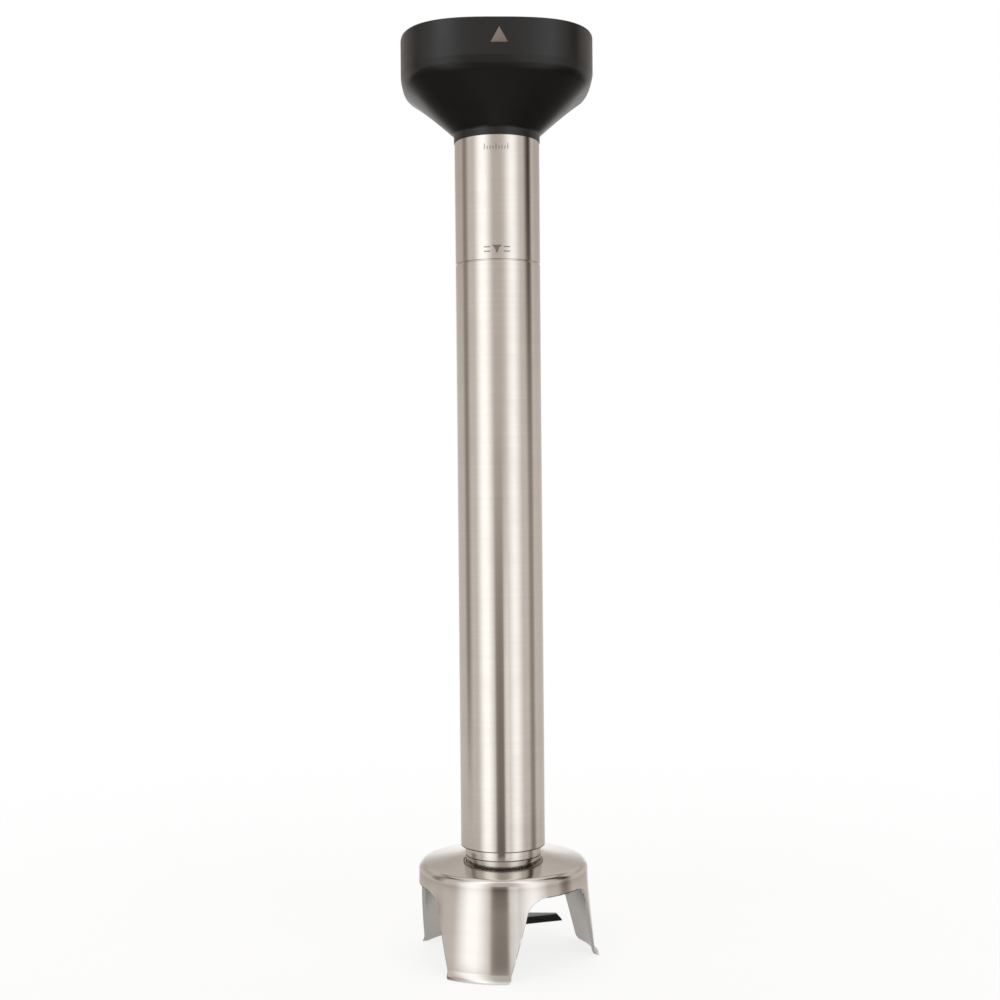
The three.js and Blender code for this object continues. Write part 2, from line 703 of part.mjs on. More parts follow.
function middleGuide() {
  const half = guideHeight / 2;
  const rim = housingRadius - 2.2;
  const hub = bushRadius + fitGap + 1.6;
  const web = 1.5;
  const body = turned([
    [bushRadius + fitGap, -half], [hub, -half], [hub, -web], [rim, -web], [rim, -half],
    [housingRadius, -half], [housingRadius, half], [rim, half], [rim, web], [hub, web],
    [hub, half], [bushRadius + fitGap, half],
  ], 28);
  const holeRadius = 0.42 * (rim - hub);
  const holes = times(6, (k) => {
    const [x, y] = around((rim + hub) / 2, (Math.PI * k) / 3);
    return rod(holeRadius, -web - overcut, web + overcut, 8).translate(x, y, 0);
  });
  return cut(body, holes);
}

// A ring nut with spanner slots, which holds the guard against the neck
function clampNut() {
  const bottom = clampNutTop - clampNutHeight;
  const body = ring(spigotRadius + fitGap, clampNutRadius, bottom, clampNutTop, 32);
  const slots = times(4, (k) =>
    new THREE.BoxGeometry(spannerSlotWidth, 2 * spannerSlotDepth, 2 * spannerSlotHeight)
      .translate(0, -clampNutRadius, bottom)
      .rotateZ((Math.PI * k) / 2 + Math.PI / 4));
  return cut(body, slots);
}

// ---------------------------------------------------------------- shaft, coupling and blade

function driveShaft() {
  const lowGroove = lowerBearingTop + seatGap / 2;
  const highGroove = upperBearingBottom - seatGap / 2 - clipGrooveWidth;
  const body = turned([
    [0, shaftBottom], [studRadius, shaftBottom], [studRadius, bladeTop + seatGap],
    [shaftRadius, bladeTop + seatGap], [shaftRadius, lowGroove], [shaftGrooveRadius, lowGroove],
    [shaftGrooveRadius, lowGroove + clipGrooveWidth], [shaftRadius, lowGroove + clipGrooveWidth],
    [shaftRadius, highGroove], [shaftGrooveRadius, highGroove],
    [shaftGrooveRadius, highGroove + clipGrooveWidth], [shaftRadius, highGroove + clipGrooveWidth],
    [shaftRadius, shaftTop - shaftChamfer], [shaftRadius - shaftChamfer, shaftTop], [0, shaftTop],
  ], 20);
  return cut(body, [crossHole(2 * shaftRadius)]);
}

function crossHole(reach) {
  return rod(couplingPinRadius + cutGap, -reach, reach, 8)
    .rotateX(Math.PI / 2).translate(0, 0, couplingPinHeight);
}

function driveCoupling() {
  const bore = shaftRadius + fitGap;
  const neck = ballPitchRadius - raceShoulder - 0.2;
  const neckBottom = upperBearingTop + seatGap;
  const body = turned([
    [bore, neckBottom], [neck, neckBottom], [neck, couplingBottom], [couplingRadius, couplingBottom],
    [couplingRadius, couplingTop - couplingChamfer], [couplingRadius - couplingChamfer, couplingTop],
    [0, couplingTop], [0, shaftTop + cutGap], [bore, shaftTop + cutGap],
  ], 28);
  const floor = couplingTop - couplingSocketDepth;
  const socket = rod(couplingSocketRadius, floor, couplingTop + overcut, 24);
  const flutes = times(fluteCount, (k) => {
    const [x, y] = around(couplingSocketRadius, (2 * Math.PI * k) / fluteCount);
    return rod(fluteRadius, floor, couplingTop + overcut, 8).translate(x, y, 0);
  });
  return cut(body, [socket, ...flutes, crossHole(2 * couplingRadius)]);
}

// Skirted boss that carries the blade; the skirt runs just under the seal housing
function bladeHub() {
  const bore = shaftRadius + fitGap;
  const bottom = bladeTop + seatGap;
  const skirtBottom = hubTop - hubSkirtHeight;
  return turned([
    [bore, bottom], [hubRadius, bottom], [hubRadius, skirtBottom - hubFlareHeight],
    [hubSkirtRadius, skirtBottom], [hubSkirtRadius, hubTop], [bore, hubTop],
  ], 28);
}

// A two-winged blade, ground to an edge along the leading side and the tip of each wing
function blade() {
  const shape = new THREE.Shape();
  const corners = [
    [bladeRootHalfWidth, -bladeRootHalfWidth],
    [bladeRadius, -bladeTipHalfWidth],
    [bladeRadius, bladeTipHalfWidth],
    [bladeRootHalfWidth, bladeRootHalfWidth],
  ];
  const outline = [...corners, ...corners.map(([x, y]) => [-x, -y])];
  outline.forEach(([x, y], k) => (k === 0 ? shape.moveTo(x, y) : shape.lineTo(x, y)));
  shape.closePath();
  const hole = new THREE.Path();
  hole.absarc(0, 0, studRadius + fitGap, 0, 2 * Math.PI, true);
  shape.holes.push(hole);
  const body = plate(shape, bladeThickness, 8);
  const edges = [[corners[0], corners[1]], [corners[1], corners[2]]];
  const grinds = edges.flatMap(([from, to]) => {
    const heading = Math.atan2(to[1] - from[1], to[0] - from[0]);
    return times(2, (k) => new THREE.BoxGeometry(4 * bladeRadius, 20, 10)
      .translate(0, 0, 5)
      .rotateX(bladeBevelAngle)
      .translate(0, 0, bladeGrindLand)
      .rotateZ(heading)
      .translate((from[0] + to[0]) / 2, (from[1] + to[1]) / 2, 0)
      .rotateZ(Math.PI * k));
  });
  return cut(body, grinds).rotateZ(bladeAzimuth - Math.PI / 2).translate(0, 0, bladeHeight);
}

// A domed nut with a hexagonal body and a blind thread
function bladeNut() {
  const hexagon = rod(nutRadius, nutTop - 0.55 * nutHeight, nutTop, 6);
  const dome = turned([
    [0, nutBottom], [0.45 * nutRadius, nutBottom + 0.25], [0.75 * nutRadius, nutBottom + 1.3],
    [0.84 * nutRadius, nutBottom + 2.6], [0.84 * nutRadius, nutTop - 0.2], [0, nutTop - 0.2],
  ], 20);
  const thread = rod(studRadius + fitGap, shaftBottom - cutGap, nutTop + overcut, 16);
  return cut(joined([hexagon, dome]), [thread]);
}

// ---------------------------------------------------------------- assembly

place('blade_guard', bladeGuard(), polishedSteel);
place('guard_clamp_nut', clampNut(), machinedSteel);
place('lower_bearing_housing', lowerBearingHousing(), polishedSteel);
place('housing_o_ring', torus(oRingGroove + fitGap / 2 + oRingSection, oRingSection, 28), blackRubber,
  0, 0, oRingHeight);
place('lip_seal', lipSeal(), blackRubber);
place('seal_garter_spring', torus(garterRadius, garterSection, 24), springSteel,
  0, 0, sealBottom + 0.45 * sealWidth);
place('lower_outer_race', outerRace(), bearingSteel, 0, 0, lowerBearingMiddle);
place('lower_housing_circlip', housingClip(), springSteel, 0, 0, lowerClipBottom);

const tubeTop = headFloor - 0.2;
const grooveMiddle = headBottom - levelGrooveDrop;
place('arm_tube', turned([
  [boreOfTube, tubeBottom], [tubeRadius - tubeChamfer, tubeBottom], [tubeRadius, tubeBottom + tubeChamfer],
  [tubeRadius, grooveMiddle - levelGrooveWidth / 2],
  [tubeRadius - levelGrooveDepth, grooveMiddle - levelGrooveWidth / 4],
  [tubeRadius - levelGrooveDepth, grooveMiddle + levelGrooveWidth / 4],
  [tubeRadius, grooveMiddle + levelGrooveWidth / 2],
  [tubeRadius, tubeTop], [boreOfTube, tubeTop],
], 48), brushedSteel);
place('shaft_guide', middleGuide(), nylon, 0, 0, guideMiddle);
place('guide_bush', ring(shaftRadius + fitGap, bushRadius, -guideHeight / 2, guideHeight / 2, 24), bronze,
  0, 0, guideMiddle);

place('upper_bearing_housing', upperBearingHousing(), machinedSteel);
screws('flange_screw', flangeScrewCount, flangeScrewCircle, flangeBottom + flangeThickness,
  flangeScrewRadius, flangeScrewHeadRadius, flangeThickness + flangeScrewDepth);
place('upper_outer_race', outerRace(), bearingSteel, 0, 0, upperBearingMiddle);
place('upper_housing_circlip', housingClip(), springSteel, 0, 0, upperClipBottom);

place('coupling_head', couplingHead(), blackPlastic);
place('alignment_arrow', arrowPrism(0, arrowThickness + arrowProud), paleMark, 0, -arrowBack, arrowBase);
place('nose_seal', torus(noseGrooveRadius - fitGap - noseSealSection, noseSealSection, 32), blackRubber,
  0, 0, noseSealHeight);
place('bayonet_ring', bayonetRing(), machinedSteel);
screws('ring_screw', ringScrewCount, ringScrewCircle, ledgeHeight + seatGap + ringThickness,
  ringScrewRadius, ringScrewHeadRadius, ringThickness + ringScrewDepth);

place('drive_shaft', driveShaft(), machinedSteel);
place('drive_coupling', driveCoupling(), machinedSteel);
const pinHalf = couplingRadius - 0.4;
place('coupling_pin', rod(couplingPinRadius, -pinHalf, pinHalf, 8).rotateX(Math.PI / 2), springSteel,
  0, 0, couplingPinHeight);
place('upper_inner_race', innerRace(), bearingSteel, 0, 0, upperBearingMiddle);
place('upper_shaft_circlip', shaftClip(), springSteel, 0, 0, upperBearingBottom - seatGap - clipThickness);
place('lower_inner_race', innerRace(), bearingSteel, 0, 0, lowerBearingMiddle);
place('lower_shaft_circlip', shaftClip(), springSteel, 0, 0, lowerBearingTop + seatGap);
place('seal_sleeve', ring(shaftRadius + fitGap, sleeveRadius, hubTop + seatGap,
  lowerBearingBottom - seatGap, 24), machinedSteel);
place('blade_hub', bladeHub(), machinedSteel);
place('blade', blade(), bladeCoating);
place('blade_washer', ring(studRadius + fitGap, 0.9 * nutRadius, washerTop - washerThickness,
  washerTop, 24), zincScrew);
place('blade_nut', bladeNut(), zincScrew);

place('upper_ball_cage', ballCage(), bearingSteel, 0, 0, upperBearingMiddle);
place('lower_ball_cage', ballCage(), bearingSteel, 0, 0, lowerBearingMiddle);

export default group;
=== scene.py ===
import math

import bmesh
import bpy
from mathutils import Matrix, Vector


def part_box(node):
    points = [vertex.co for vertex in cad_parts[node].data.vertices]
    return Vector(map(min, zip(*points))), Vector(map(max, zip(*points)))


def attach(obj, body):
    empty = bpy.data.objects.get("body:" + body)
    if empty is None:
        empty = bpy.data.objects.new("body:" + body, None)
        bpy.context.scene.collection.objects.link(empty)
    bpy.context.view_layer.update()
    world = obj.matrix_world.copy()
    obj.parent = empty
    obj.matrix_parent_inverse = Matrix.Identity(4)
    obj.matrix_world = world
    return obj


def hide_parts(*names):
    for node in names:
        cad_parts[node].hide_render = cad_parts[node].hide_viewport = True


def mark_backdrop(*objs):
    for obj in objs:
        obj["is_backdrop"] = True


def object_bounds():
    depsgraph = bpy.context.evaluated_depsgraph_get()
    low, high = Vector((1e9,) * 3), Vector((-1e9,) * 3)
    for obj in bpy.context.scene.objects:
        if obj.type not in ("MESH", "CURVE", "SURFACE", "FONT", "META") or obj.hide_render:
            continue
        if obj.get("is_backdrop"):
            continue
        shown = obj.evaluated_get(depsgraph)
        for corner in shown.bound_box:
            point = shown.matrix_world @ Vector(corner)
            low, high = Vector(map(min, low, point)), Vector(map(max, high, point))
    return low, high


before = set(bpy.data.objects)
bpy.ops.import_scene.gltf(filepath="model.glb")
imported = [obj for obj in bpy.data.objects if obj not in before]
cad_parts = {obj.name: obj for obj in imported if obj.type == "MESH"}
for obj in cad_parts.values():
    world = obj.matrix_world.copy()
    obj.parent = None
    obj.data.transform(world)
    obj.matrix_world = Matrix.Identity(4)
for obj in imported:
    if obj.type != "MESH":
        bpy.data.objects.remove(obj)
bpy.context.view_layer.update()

mm = 0.001

# ---------------------------------------------------------------- studio
# A pale floor that fades into a white background. The soft light has a box on each side of the
# camera and narrow dark flags at the sides, which give the steel its bands.

def node(tree, kind, values=None, **settings):
    """A new node, with its settings and its input values or the sockets that feed them."""
    made = tree.nodes.new(kind)
    for key, value in settings.items():
        setattr(made, key, value)
    for socket, value in (values or {}).items():
        if isinstance(value, bpy.types.NodeSocket):
            tree.links.new(value, made.inputs[socket])
        else:
            made.inputs[socket].default_value = value
    return made


def calc(tree, operation, *values):
    return node(tree, "ShaderNodeMath", dict(enumerate(values)), operation=operation).outputs[0]


def ramp(tree, value, start, end, low=0.0, high=1.0):
    """Runs smoothly from low to high while value goes from start to end."""
    values = {"Value": value, "From Min": start, "From Max": end, "To Min": low, "To Max": high}
    return node(tree, "ShaderNodeMapRange", values, interpolation_type="SMOOTHSTEP").outputs[0]


def blend_colours(tree, factor, first, second):
    made = node(tree, "ShaderNodeMix", {0: factor}, data_type="RGBA")
    for socket, value in ((6, first), (7, second)):
        if isinstance(value, bpy.types.NodeSocket):
            tree.links.new(value, made.inputs[socket])
        else:
            made.inputs[socket].default_value = (*value, 1)
    return made.outputs[2]


# [bearing, half width, soft edge, lowest and highest rise, soft rise, added brightness]; degrees
light_panels = {
    "left_box": [-43, 16, 27, -60, 70, 20, 0.78],
    "right_box": [37, 14, 28, -60, 70, 20, 0.66],
    "right_box_inner_edge": [11, 6, 4, -60, -3, 8, 0.28],
    "camera_side": [-3, 12, 14, -60, 60, 8, -0.09],
    "camera_stand": [-7, 11.5, 6, -60, -2, 15, -0.38],
    "left_flag": [-101, 9, 18, -10, 60, 8, -0.42],
    "right_flag": [90, 9, 14, -60, 60, 8, -0.37],
    "right_flag_top": [86, 12, 12, 6, 60, 14, -0.30],
    "upper_walls": [180, 70, 28, 8, 26, 14, -0.13],
    "side_walls": [180, 66, 24, -60, 60, 8, -0.05],
    "high_gap": [180, 110, 30, 42, 50, 6, -0.30],
    "backdrop": [178, 20, 12, -60, 12, 14, 0.40],
    "ceiling": [0, 180, 1, 60, 120, 24, 0.25],
    "pit": [0, 180, 1, -120, -16, 8, -0.56],
}
room_brightness = 0.72
room_tint = (1.0, 0.88, 0.79)

world = bpy.data.worlds.new("studio")
bpy.context.scene.world = world
world.use_nodes = True
tree = world.node_tree
tree.nodes.clear()
direction = node(tree, "ShaderNodeTexCoord").outputs["Generated"]
x, y, z = node(tree, "ShaderNodeSeparateXYZ", {0: direction}).outputs
bearing = calc(tree, "DEGREES", calc(tree, "ARCTAN2", x, calc(tree, "MULTIPLY", y, -1.0)))
rise = calc(tree, "DEGREES", calc(tree, "ARCSINE", z))
brightness = room_brightness
for centre, half, soft, lowest, highest, soft_rise, added in light_panels.values():
    away = calc(tree, "SUBTRACT", bearing, centre)
    wrapped = calc(tree, "ABSOLUTE", calc(tree, "WRAP", away, 180.0, -180.0))
    sideways = ramp(tree, wrapped, half + soft / 2, half - soft / 2)
    above = ramp(tree, rise, lowest - soft_rise / 2, lowest + soft_rise / 2)
    below = ramp(tree, rise, highest + soft_rise / 2, highest - soft_rise / 2)
    share = calc(tree, "MULTIPLY", sideways, calc(tree, "MULTIPLY", above, below))
    brightness = calc(tree, "MULTIPLY_ADD", share, added, brightness)
brightness = calc(tree, "MAXIMUM", brightness, 0.03)
tint = blend_colours(tree, ramp(tree, brightness, 0.2, 1.2), room_tint, (1, 1, 1))
room = node(tree, "ShaderNodeBackground", {"Color": tint, "Strength": brightness})
white = node(tree, "ShaderNodeBackground", {"Color": (1, 1, 1, 1), "Strength": 1.0})
seen = node(tree, "ShaderNodeLightPath").outputs["Is Camera Ray"]
shown = node(tree, "ShaderNodeMixShader", {0: seen, 1: room.outputs[0], 2: white.outputs[0]})
node(tree, "ShaderNodeOutputWorld", {0: shown.outputs[0]})
bpy.context.scene.view_settings.view_transform = "Standard"

floor_radius = 1.4
floor_drop = 0.02 * mm
floor_mesh = bpy.data.meshes.new("floor")
shape = bmesh.new()
bmesh.ops.create_circle(shape, cap_ends=True, segments=64, radius=floor_radius)
shape.to_mesh(floor_mesh)
shape.free()
floor_mesh.transform(Matrix.Translation((0, 0, -floor_drop)))
studio_floor = bpy.data.objects.new("studio_floor", floor_mesh)
bpy.context.scene.collection.objects.link(studio_floor)
studio_floor.visible_glossy = False
studio_floor.visible_diffuse = False


def paper(name, shade, glow, fade_start, fade_end):
    """White paper that fades out with the distance from the middle, and is not seen from below."""
    made = bpy.data.materials.new(name)
    made.use_nodes = True
    tree = made.node_tree
    shader = tree.nodes["Principled BSDF"]
    shader.inputs["Base Color"].default_value = (shade, shade, shade, 1)
    shader.inputs["Roughness"].default_value = 0.9
    shader.inputs["Emission Color"].default_value = (1, 1, 1, 1)
    shader.inputs["Emission Strength"].default_value = glow
    place = node(tree, "ShaderNodeTexCoord").outputs["Object"]
    far = node(tree, "ShaderNodeVectorMath", {0: place}, operation="LENGTH").outputs["Value"]
    underneath = node(tree, "ShaderNodeNewGeometry").outputs["Backfacing"]
    from_above = calc(tree, "SUBTRACT", 1.0, underneath)
    fade = ramp(tree, far, fade_start, fade_end, 1.0, 0.0)
    tree.links.new(calc(tree, "MULTIPLY", fade, from_above), shader.inputs["Alpha"])
    return made


floor_mesh.materials.append(paper("pale_floor", 0.20, 0.80, 0.06, 0.60))
near_mesh = floor_mesh.copy()
near_mesh.materials.clear()
near_mesh.materials.append(paper("floor_in_steel", 0.10, 0.45, 0.030, 0.085))
near_floor = bpy.data.objects.new("near_floor", near_mesh)
bpy.context.scene.collection.objects.link(near_floor)
near_floor.visible_camera = False
near_floor.visible_diffuse = False
near_floor.visible_shadow = False
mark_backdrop(studio_floor, near_floor)

camera_distance = 617.97
camera_height = 192.72
camera_bearing = math.radians(-1.9)
camera_dip = math.radians(0.44)
camera_roll = math.radians(-0.51)
ahead = Vector((-math.sin(camera_bearing), math.cos(camera_bearing), 0))
level = Vector((math.cos(camera_bearing), math.sin(camera_bearing), 0))
upright = math.sin(camera_dip) * ahead + math.cos(camera_dip) * Vector((0, 0, 1))
right = math.cos(camera_roll) * level + math.sin(camera_roll) * upright
top = math.cos(camera_roll) * upright - math.sin(camera_roll) * level
camera_data = bpy.data.cameras.new("camera")
camera_data.lens = 53.83
camera = bpy.data.objects.new("camera", camera_data)
camera_place = Matrix.Translation((-camera_distance * ahead + Vector((0, 0, camera_height))) * mm)
camera.matrix_world = camera_place @ Matrix((right, top, right.cross(top))).transposed().to_4x4()
bpy.context.scene.collection.objects.link(camera)
bpy.context.scene.camera = camera

# ---------------------------------------------------------------- blade guard
# Pressed from 1.2 mm stainless sheet: a shallow domed roof, a wall punched into three legs, and feet
# that curl outwards so that they slide over a pan. The edges are deburred and the whole is polished.

sheet = 1.2
wall_radius = 34.9
wall_lean = math.radians(5)
wall_blend = 5.0
shoulder_radius = 2.8
roof_slope = math.radians(9)
roof_flat_radius = 16.6
roof_hole_radius = 12.85
lip_radius = 4.6
lip_start = 3.4
leg_count = 3
first_leg = math.radians(-18)
arch_height = 31.3
arch_fillet = 8.2
arch_side = math.radians(16.9)
opening_half = 24.6
foot_fillet = 2.8
leg_columns = 36
arch_columns = 14
# the rows next to an edge keep its rounding from bending the light on the whole wall
edge_land = 0.45
# only faces narrower than this are part of a rounded edge or a crease
narrow_face = 0.5
guard_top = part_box("blade_guard")[1].z / mm


def new_piece(name, points, faces):
    """A closed mesh object from points in millimetres, with its normals turned outwards."""
    mesh = bpy.data.meshes.new(name)
    mesh.from_pydata([[value * mm for value in point] for point in points], [], faces)
    shape = bmesh.new()
    shape.from_mesh(mesh)
    bmesh.ops.remove_doubles(shape, verts=shape.verts, dist=1e-7)
    bmesh.ops.dissolve_degenerate(shape, edges=shape.edges, dist=1e-8)
    bmesh.ops.recalc_face_normals(shape, faces=shape.faces)
    shape.to_mesh(mesh)
    shape.free()
    made = bpy.data.objects.new(name, mesh)
    bpy.context.scene.collection.objects.link(made)
    return made


def settle(piece):
    """Turns what the modifiers make into the piece's own mesh."""
    graph = bpy.context.evaluated_depsgraph_get()
    mesh = bpy.data.meshes.new_from_object(piece.evaluated_get(graph), depsgraph=graph)
    piece.modifiers.clear()
    piece.data = mesh


def soften(piece, width, segments=3, angle=40):
    """Rounds the edges sharper than angle."""
    edge = piece.modifiers.new("soften", "BEVEL")
    edge.width = width * mm
    edge.segments = segments
    edge.limit_method = "ANGLE"
    edge.angle_limit = math.radians(angle)
    edge.harden_normals = True
    settle(piece)


def shade(piece, angle=50, creases=True):
    """Smooth shading up to angle, and attributes that are 1 on rounded outer edges and in creases."""
    mesh = piece.data
    mesh.shade_smooth()
    mesh.set_sharp_from_angle(angle=math.radians(angle))
    shape = bmesh.new()
    shape.from_mesh(mesh)
    bends = {}
    for vertex in shape.verts:
        angles = [e.calc_face_angle_signed(0.0) for e in vertex.link_edges if len(e.link_faces) == 2]
        bends[vertex] = [math.degrees(max(angles, default=0.0)), math.degrees(-min(angles, default=0.0))]
    edges, hollows = [], []
    for face in shape.faces:
        narrow = 2 * face.calc_area() < narrow_face * mm * face.calc_perimeter()
        for corner in face.loops:
            outward, inward = bends[corner.vert]
            edges.append(min(1.0, max(0.0, (outward - 9) / 14)) if narrow else 0.0)
            hollows.append(min(1.0, max(0.0, (inward - 9) / 14)) if narrow and creases else 0.0)
    shape.free()
    mesh.attributes.new("edge", "FLOAT", "CORNER").data.foreach_set("value", edges)
    mesh.attributes.new("hollow", "FLOAT", "CORNER").data.foreach_set("value", hollows)


def belong(piece, material, body, slot, *nodes):
    piece.data.materials.clear()
    piece.data.materials.append(material)
    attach(piece, body)
    if nodes:
        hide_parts(*nodes)


def steps(count, start=0.0, end=1.0):
    """Evenly spaced values from start to end, both included."""
    return [start + (end - start) * k / count for k in range(count + 1)]


def wall_at(height, depth):
    """Radius of the wall or lip at a height; depth is 0 outside and the sheet's thickness inside."""
    start = lip_start - depth * math.sin(wall_lean)
    lip_top = wall_radius + (arch_height - lip_start) * math.tan(wall_lean) - depth * math.cos(wall_lean)
    if height >= start:
        below = arch_height - height
        if abs(below) < wall_blend:
            below = (below + wall_blend) ** 2 / (4 * wall_blend)
        return wall_radius + max(0.0, below) * math.tan(wall_lean) - depth * math.cos(wall_lean)
    curl = lip_radius + depth
    sine = math.sin(wall_lean) + (start - height) / curl
    return lip_top + curl * (math.cos(wall_lean) - math.sqrt(1 - sine * sine))


def opening_at(height):
    """Half width of the opening between two legs at a height."""
    sine, cosine = math.sin(arch_side), math.cos(arch_side)
    if height < foot_fillet * (1 - sine):
        centre = opening_half - foot_fillet * (1 - sine) / cosine * sine + foot_fillet * cosine
        return centre - math.sqrt(foot_fillet ** 2 - (foot_fillet - height) ** 2)
    above = height - (arch_height - arch_fillet)
    if above > arch_fillet * sine:
        slide = (arch_height - arch_fillet * (1 - sine)) / cosine
        centre = opening_half - slide * sine - arch_fillet * cosine
        return centre + math.sqrt(max(0.0, arch_fillet ** 2 - above ** 2))
    return opening_half - height * math.tan(arch_side)


def crown(depth):
    """Rows from the wall over the shoulder and the sloping roof to the hole."""
    middle = wall_radius - shoulder_radius
    fall = (middle - roof_flat_radius) * math.tan(roof_slope)
    height = guard_top - fall - shoulder_radius / math.cos(roof_slope)
    curve = shoulder_radius - depth
    turn = [a * (math.pi / 2 - roof_slope) for a in steps(10)]
    upright = [arch_height + edge_land] + steps(6, arch_height, height)[1:-1]
    rows = [[wall_at(h, depth), h] for h in upright]
    rows += [[middle + curve * math.cos(a), height + curve * math.sin(a)] for a in turn]
    start, flat = rows[-1], [roof_flat_radius - depth * math.tan(roof_slope / 2), guard_top - depth]
    for s in steps(8)[1:]:
        rows.append([start[0] + (flat[0] - start[0]) * s, start[1] + (flat[1] - start[1]) * s])
    return rows + [[radius, flat[1]] for radius in steps(4, flat[0], roof_hole_radius)[1:]]


foot_turn = steps(7, math.pi / 2, arch_side)
arch_turn = steps(10, arch_side, math.pi / 2)
arch_start = arch_height - arch_fillet * (1 - math.sin(arch_side))
leg_rows = [foot_fillet * (1 - math.sin(a)) for a in foot_turn]
leg_rows += steps(6, leg_rows[-1], lip_start)[1:] + steps(12, lip_start, arch_start)[1:]
leg_rows += [arch_height - arch_fillet * (1 - math.sin(a)) for a in arch_turn[1:]]

points, faces = [], []


def put(radius, azimuth, height):
    points.append((radius * math.sin(azimuth), -radius * math.cos(azimuth), height))
    return len(points) - 1


def bridge(first, second):
    """Four-sided faces between two rows of points."""
    for k in range(len(first) - 1):
        faces.append((first[k], first[k + 1], second[k + 1], second[k]))


sides = []
for depth in (0.0, sheet):
    legs, brim, azimuths = [], [], []
    for k in range(leg_count):
        middle = first_leg + 2 * math.pi * k / leg_count
        leg = []
        for height in leg_rows:
            radius = wall_at(height, depth)
            half = math.pi / leg_count - math.asin(opening_at(height) / radius)
            land = edge_land / radius
            start, end = middle - half, middle + half
            across = [start, *steps(leg_columns - 2, start + land, end - land), end]
            leg.append([put(radius, a, height) for a in across])
        legs.append(leg)
        gap = steps(arch_columns, across[-1], across[0] + 2 * math.pi / leg_count)[1:-1]
        brim += leg[-1] + [put(radius, a, arch_height) for a in gap]
        azimuths += across + gap
        for lower, upper in zip(leg, leg[1:]):
            bridge(lower, upper)
    rings = [brim] + [[put(radius, a, height) for a in azimuths] for radius, height in crown(depth)]
    for lower, upper in zip(rings, rings[1:]):
        bridge(lower + lower[:1], upper + upper[:1])
    sides.append((legs, rings))
(outer_legs, outer_rings), (inner_legs, inner_rings) = sides
sector = leg_columns + arch_columns
for k in range(leg_count):
    outer, inner = outer_legs[k], inner_legs[k]
    bridge(outer[0], inner[0])
    for column in (0, -1):
        bridge([row[column] for row in outer], [row[column] for row in inner])
    arch = [(k * sector + leg_columns + i) % (leg_count * sector) for i in range(arch_columns + 1)]
    bridge([outer_rings[0][i] for i in arch], [inner_rings[0][i] for i in arch])
bridge(outer_rings[-1] + outer_rings[-1][:1], inner_rings[-1] + inner_rings[-1][:1])
guard_shell = new_piece("guard_shell", points, faces)
soften(guard_shell, 0.28)
shade(guard_shell, creases=False)


def shader_group(name, inputs, outputs):
    """An empty shader group with its named sockets, and where they come in and go out."""
    group = bpy.data.node_groups.new(name, "ShaderNodeTree")
    for label, default in inputs.items():
        kind = "NodeSocketVector" if default is None else "NodeSocketFloat"
        socket = group.interface.new_socket(label, in_out="INPUT", socket_type=kind)
        if default is not None:
            socket.default_value = default
    for label in outputs:
        group.interface.new_socket(label, in_out="OUTPUT", socket_type="NodeSocketFloat")
    return group, node(group, "NodeGroupInput").outputs, node(group, "NodeGroupOutput").inputs


def noise(tree, vector, size, detail=2.0, roughness=0.5):
    """Noise whose features are about size millimetres across."""
    values = {"Vector": vector, "Scale": 1 / (size * mm), "Detail": detail, "Roughness": roughness}
    return node(tree, "ShaderNodeTexNoise", values).outputs[0]


# Tool marks: Turned 0 leaves them along the axis, 1 runs them round it
tool_marks, given, result = shader_group(
    "tool_marks", {"Vector": None, "Turned": 1.0, "Width": 0.12}, ["Streak", "Band"])
x, y, z = node(tool_marks, "ShaderNodeSeparateXYZ", {0: given["Vector"]}).outputs
radius = calc(tool_marks, "SQRT", calc(
    tool_marks, "ADD", calc(tool_marks, "MULTIPLY", x, x), calc(tool_marks, "MULTIPLY", y, y)))
angle = calc(tool_marks, "MULTIPLY", calc(tool_marks, "ARCTAN2", y, x), 0.4 * mm)
along = node(tool_marks, "ShaderNodeCombineXYZ", {0: x, 1: y, 2: calc(tool_marks, "MULTIPLY", z, 0.012)})
round_axis = node(tool_marks, "ShaderNodeCombineXYZ", {0: radius, 1: angle, 2: z})
marks = node(tool_marks, "ShaderNodeMix", {0: given["Turned"]}, data_type="VECTOR")
tool_marks.links.new(along.outputs[0], marks.inputs[4])
tool_marks.links.new(round_axis.outputs[0], marks.inputs[5])
scale = calc(tool_marks, "DIVIDE", 1 / mm, given["Width"])
fine = node(tool_marks, "ShaderNodeTexNoise", {
    "Vector": marks.outputs[1], "Scale": scale, "Detail": 3.0, "Roughness": 0.65})
broad = node(tool_marks, "ShaderNodeTexNoise", {
    "Vector": marks.outputs[1], "Scale": calc(tool_marks, "MULTIPLY", scale, 0.11), "Detail": 2.0})
tool_marks.links.new(fine.outputs[0], result["Streak"])
tool_marks.links.new(ramp(tool_marks, broad.outputs[0], 0.3, 0.7), result["Band"])

# Handling: cloudy smears a centimetre or two across, with small dried spots in them
handling, given, result = shader_group("handling", {"Vector": None, "Size": 14.0}, ["Haze", "Spots"])
scale = calc(handling, "DIVIDE", 1 / mm, given["Size"])
clouds = node(handling, "ShaderNodeTexNoise", {
    "Vector": given["Vector"], "Scale": scale, "Detail": 4.0, "Distortion": 0.6})
spots = node(handling, "ShaderNodeTexVoronoi", {
    "Vector": given["Vector"], "Scale": calc(handling, "MULTIPLY", scale, 4.0), "Randomness": 1.0})
thin = noise(handling, given["Vector"], 5.0)
handling.links.new(ramp(handling, clouds.outputs[0], 0.42, 0.68), result["Haze"])
handling.links.new(calc(
    handling, "MULTIPLY", ramp(handling, spots.outputs["Distance"], 0.16, 0.08),
    ramp(handling, thin, 0.55, 0.7)), result["Spots"])

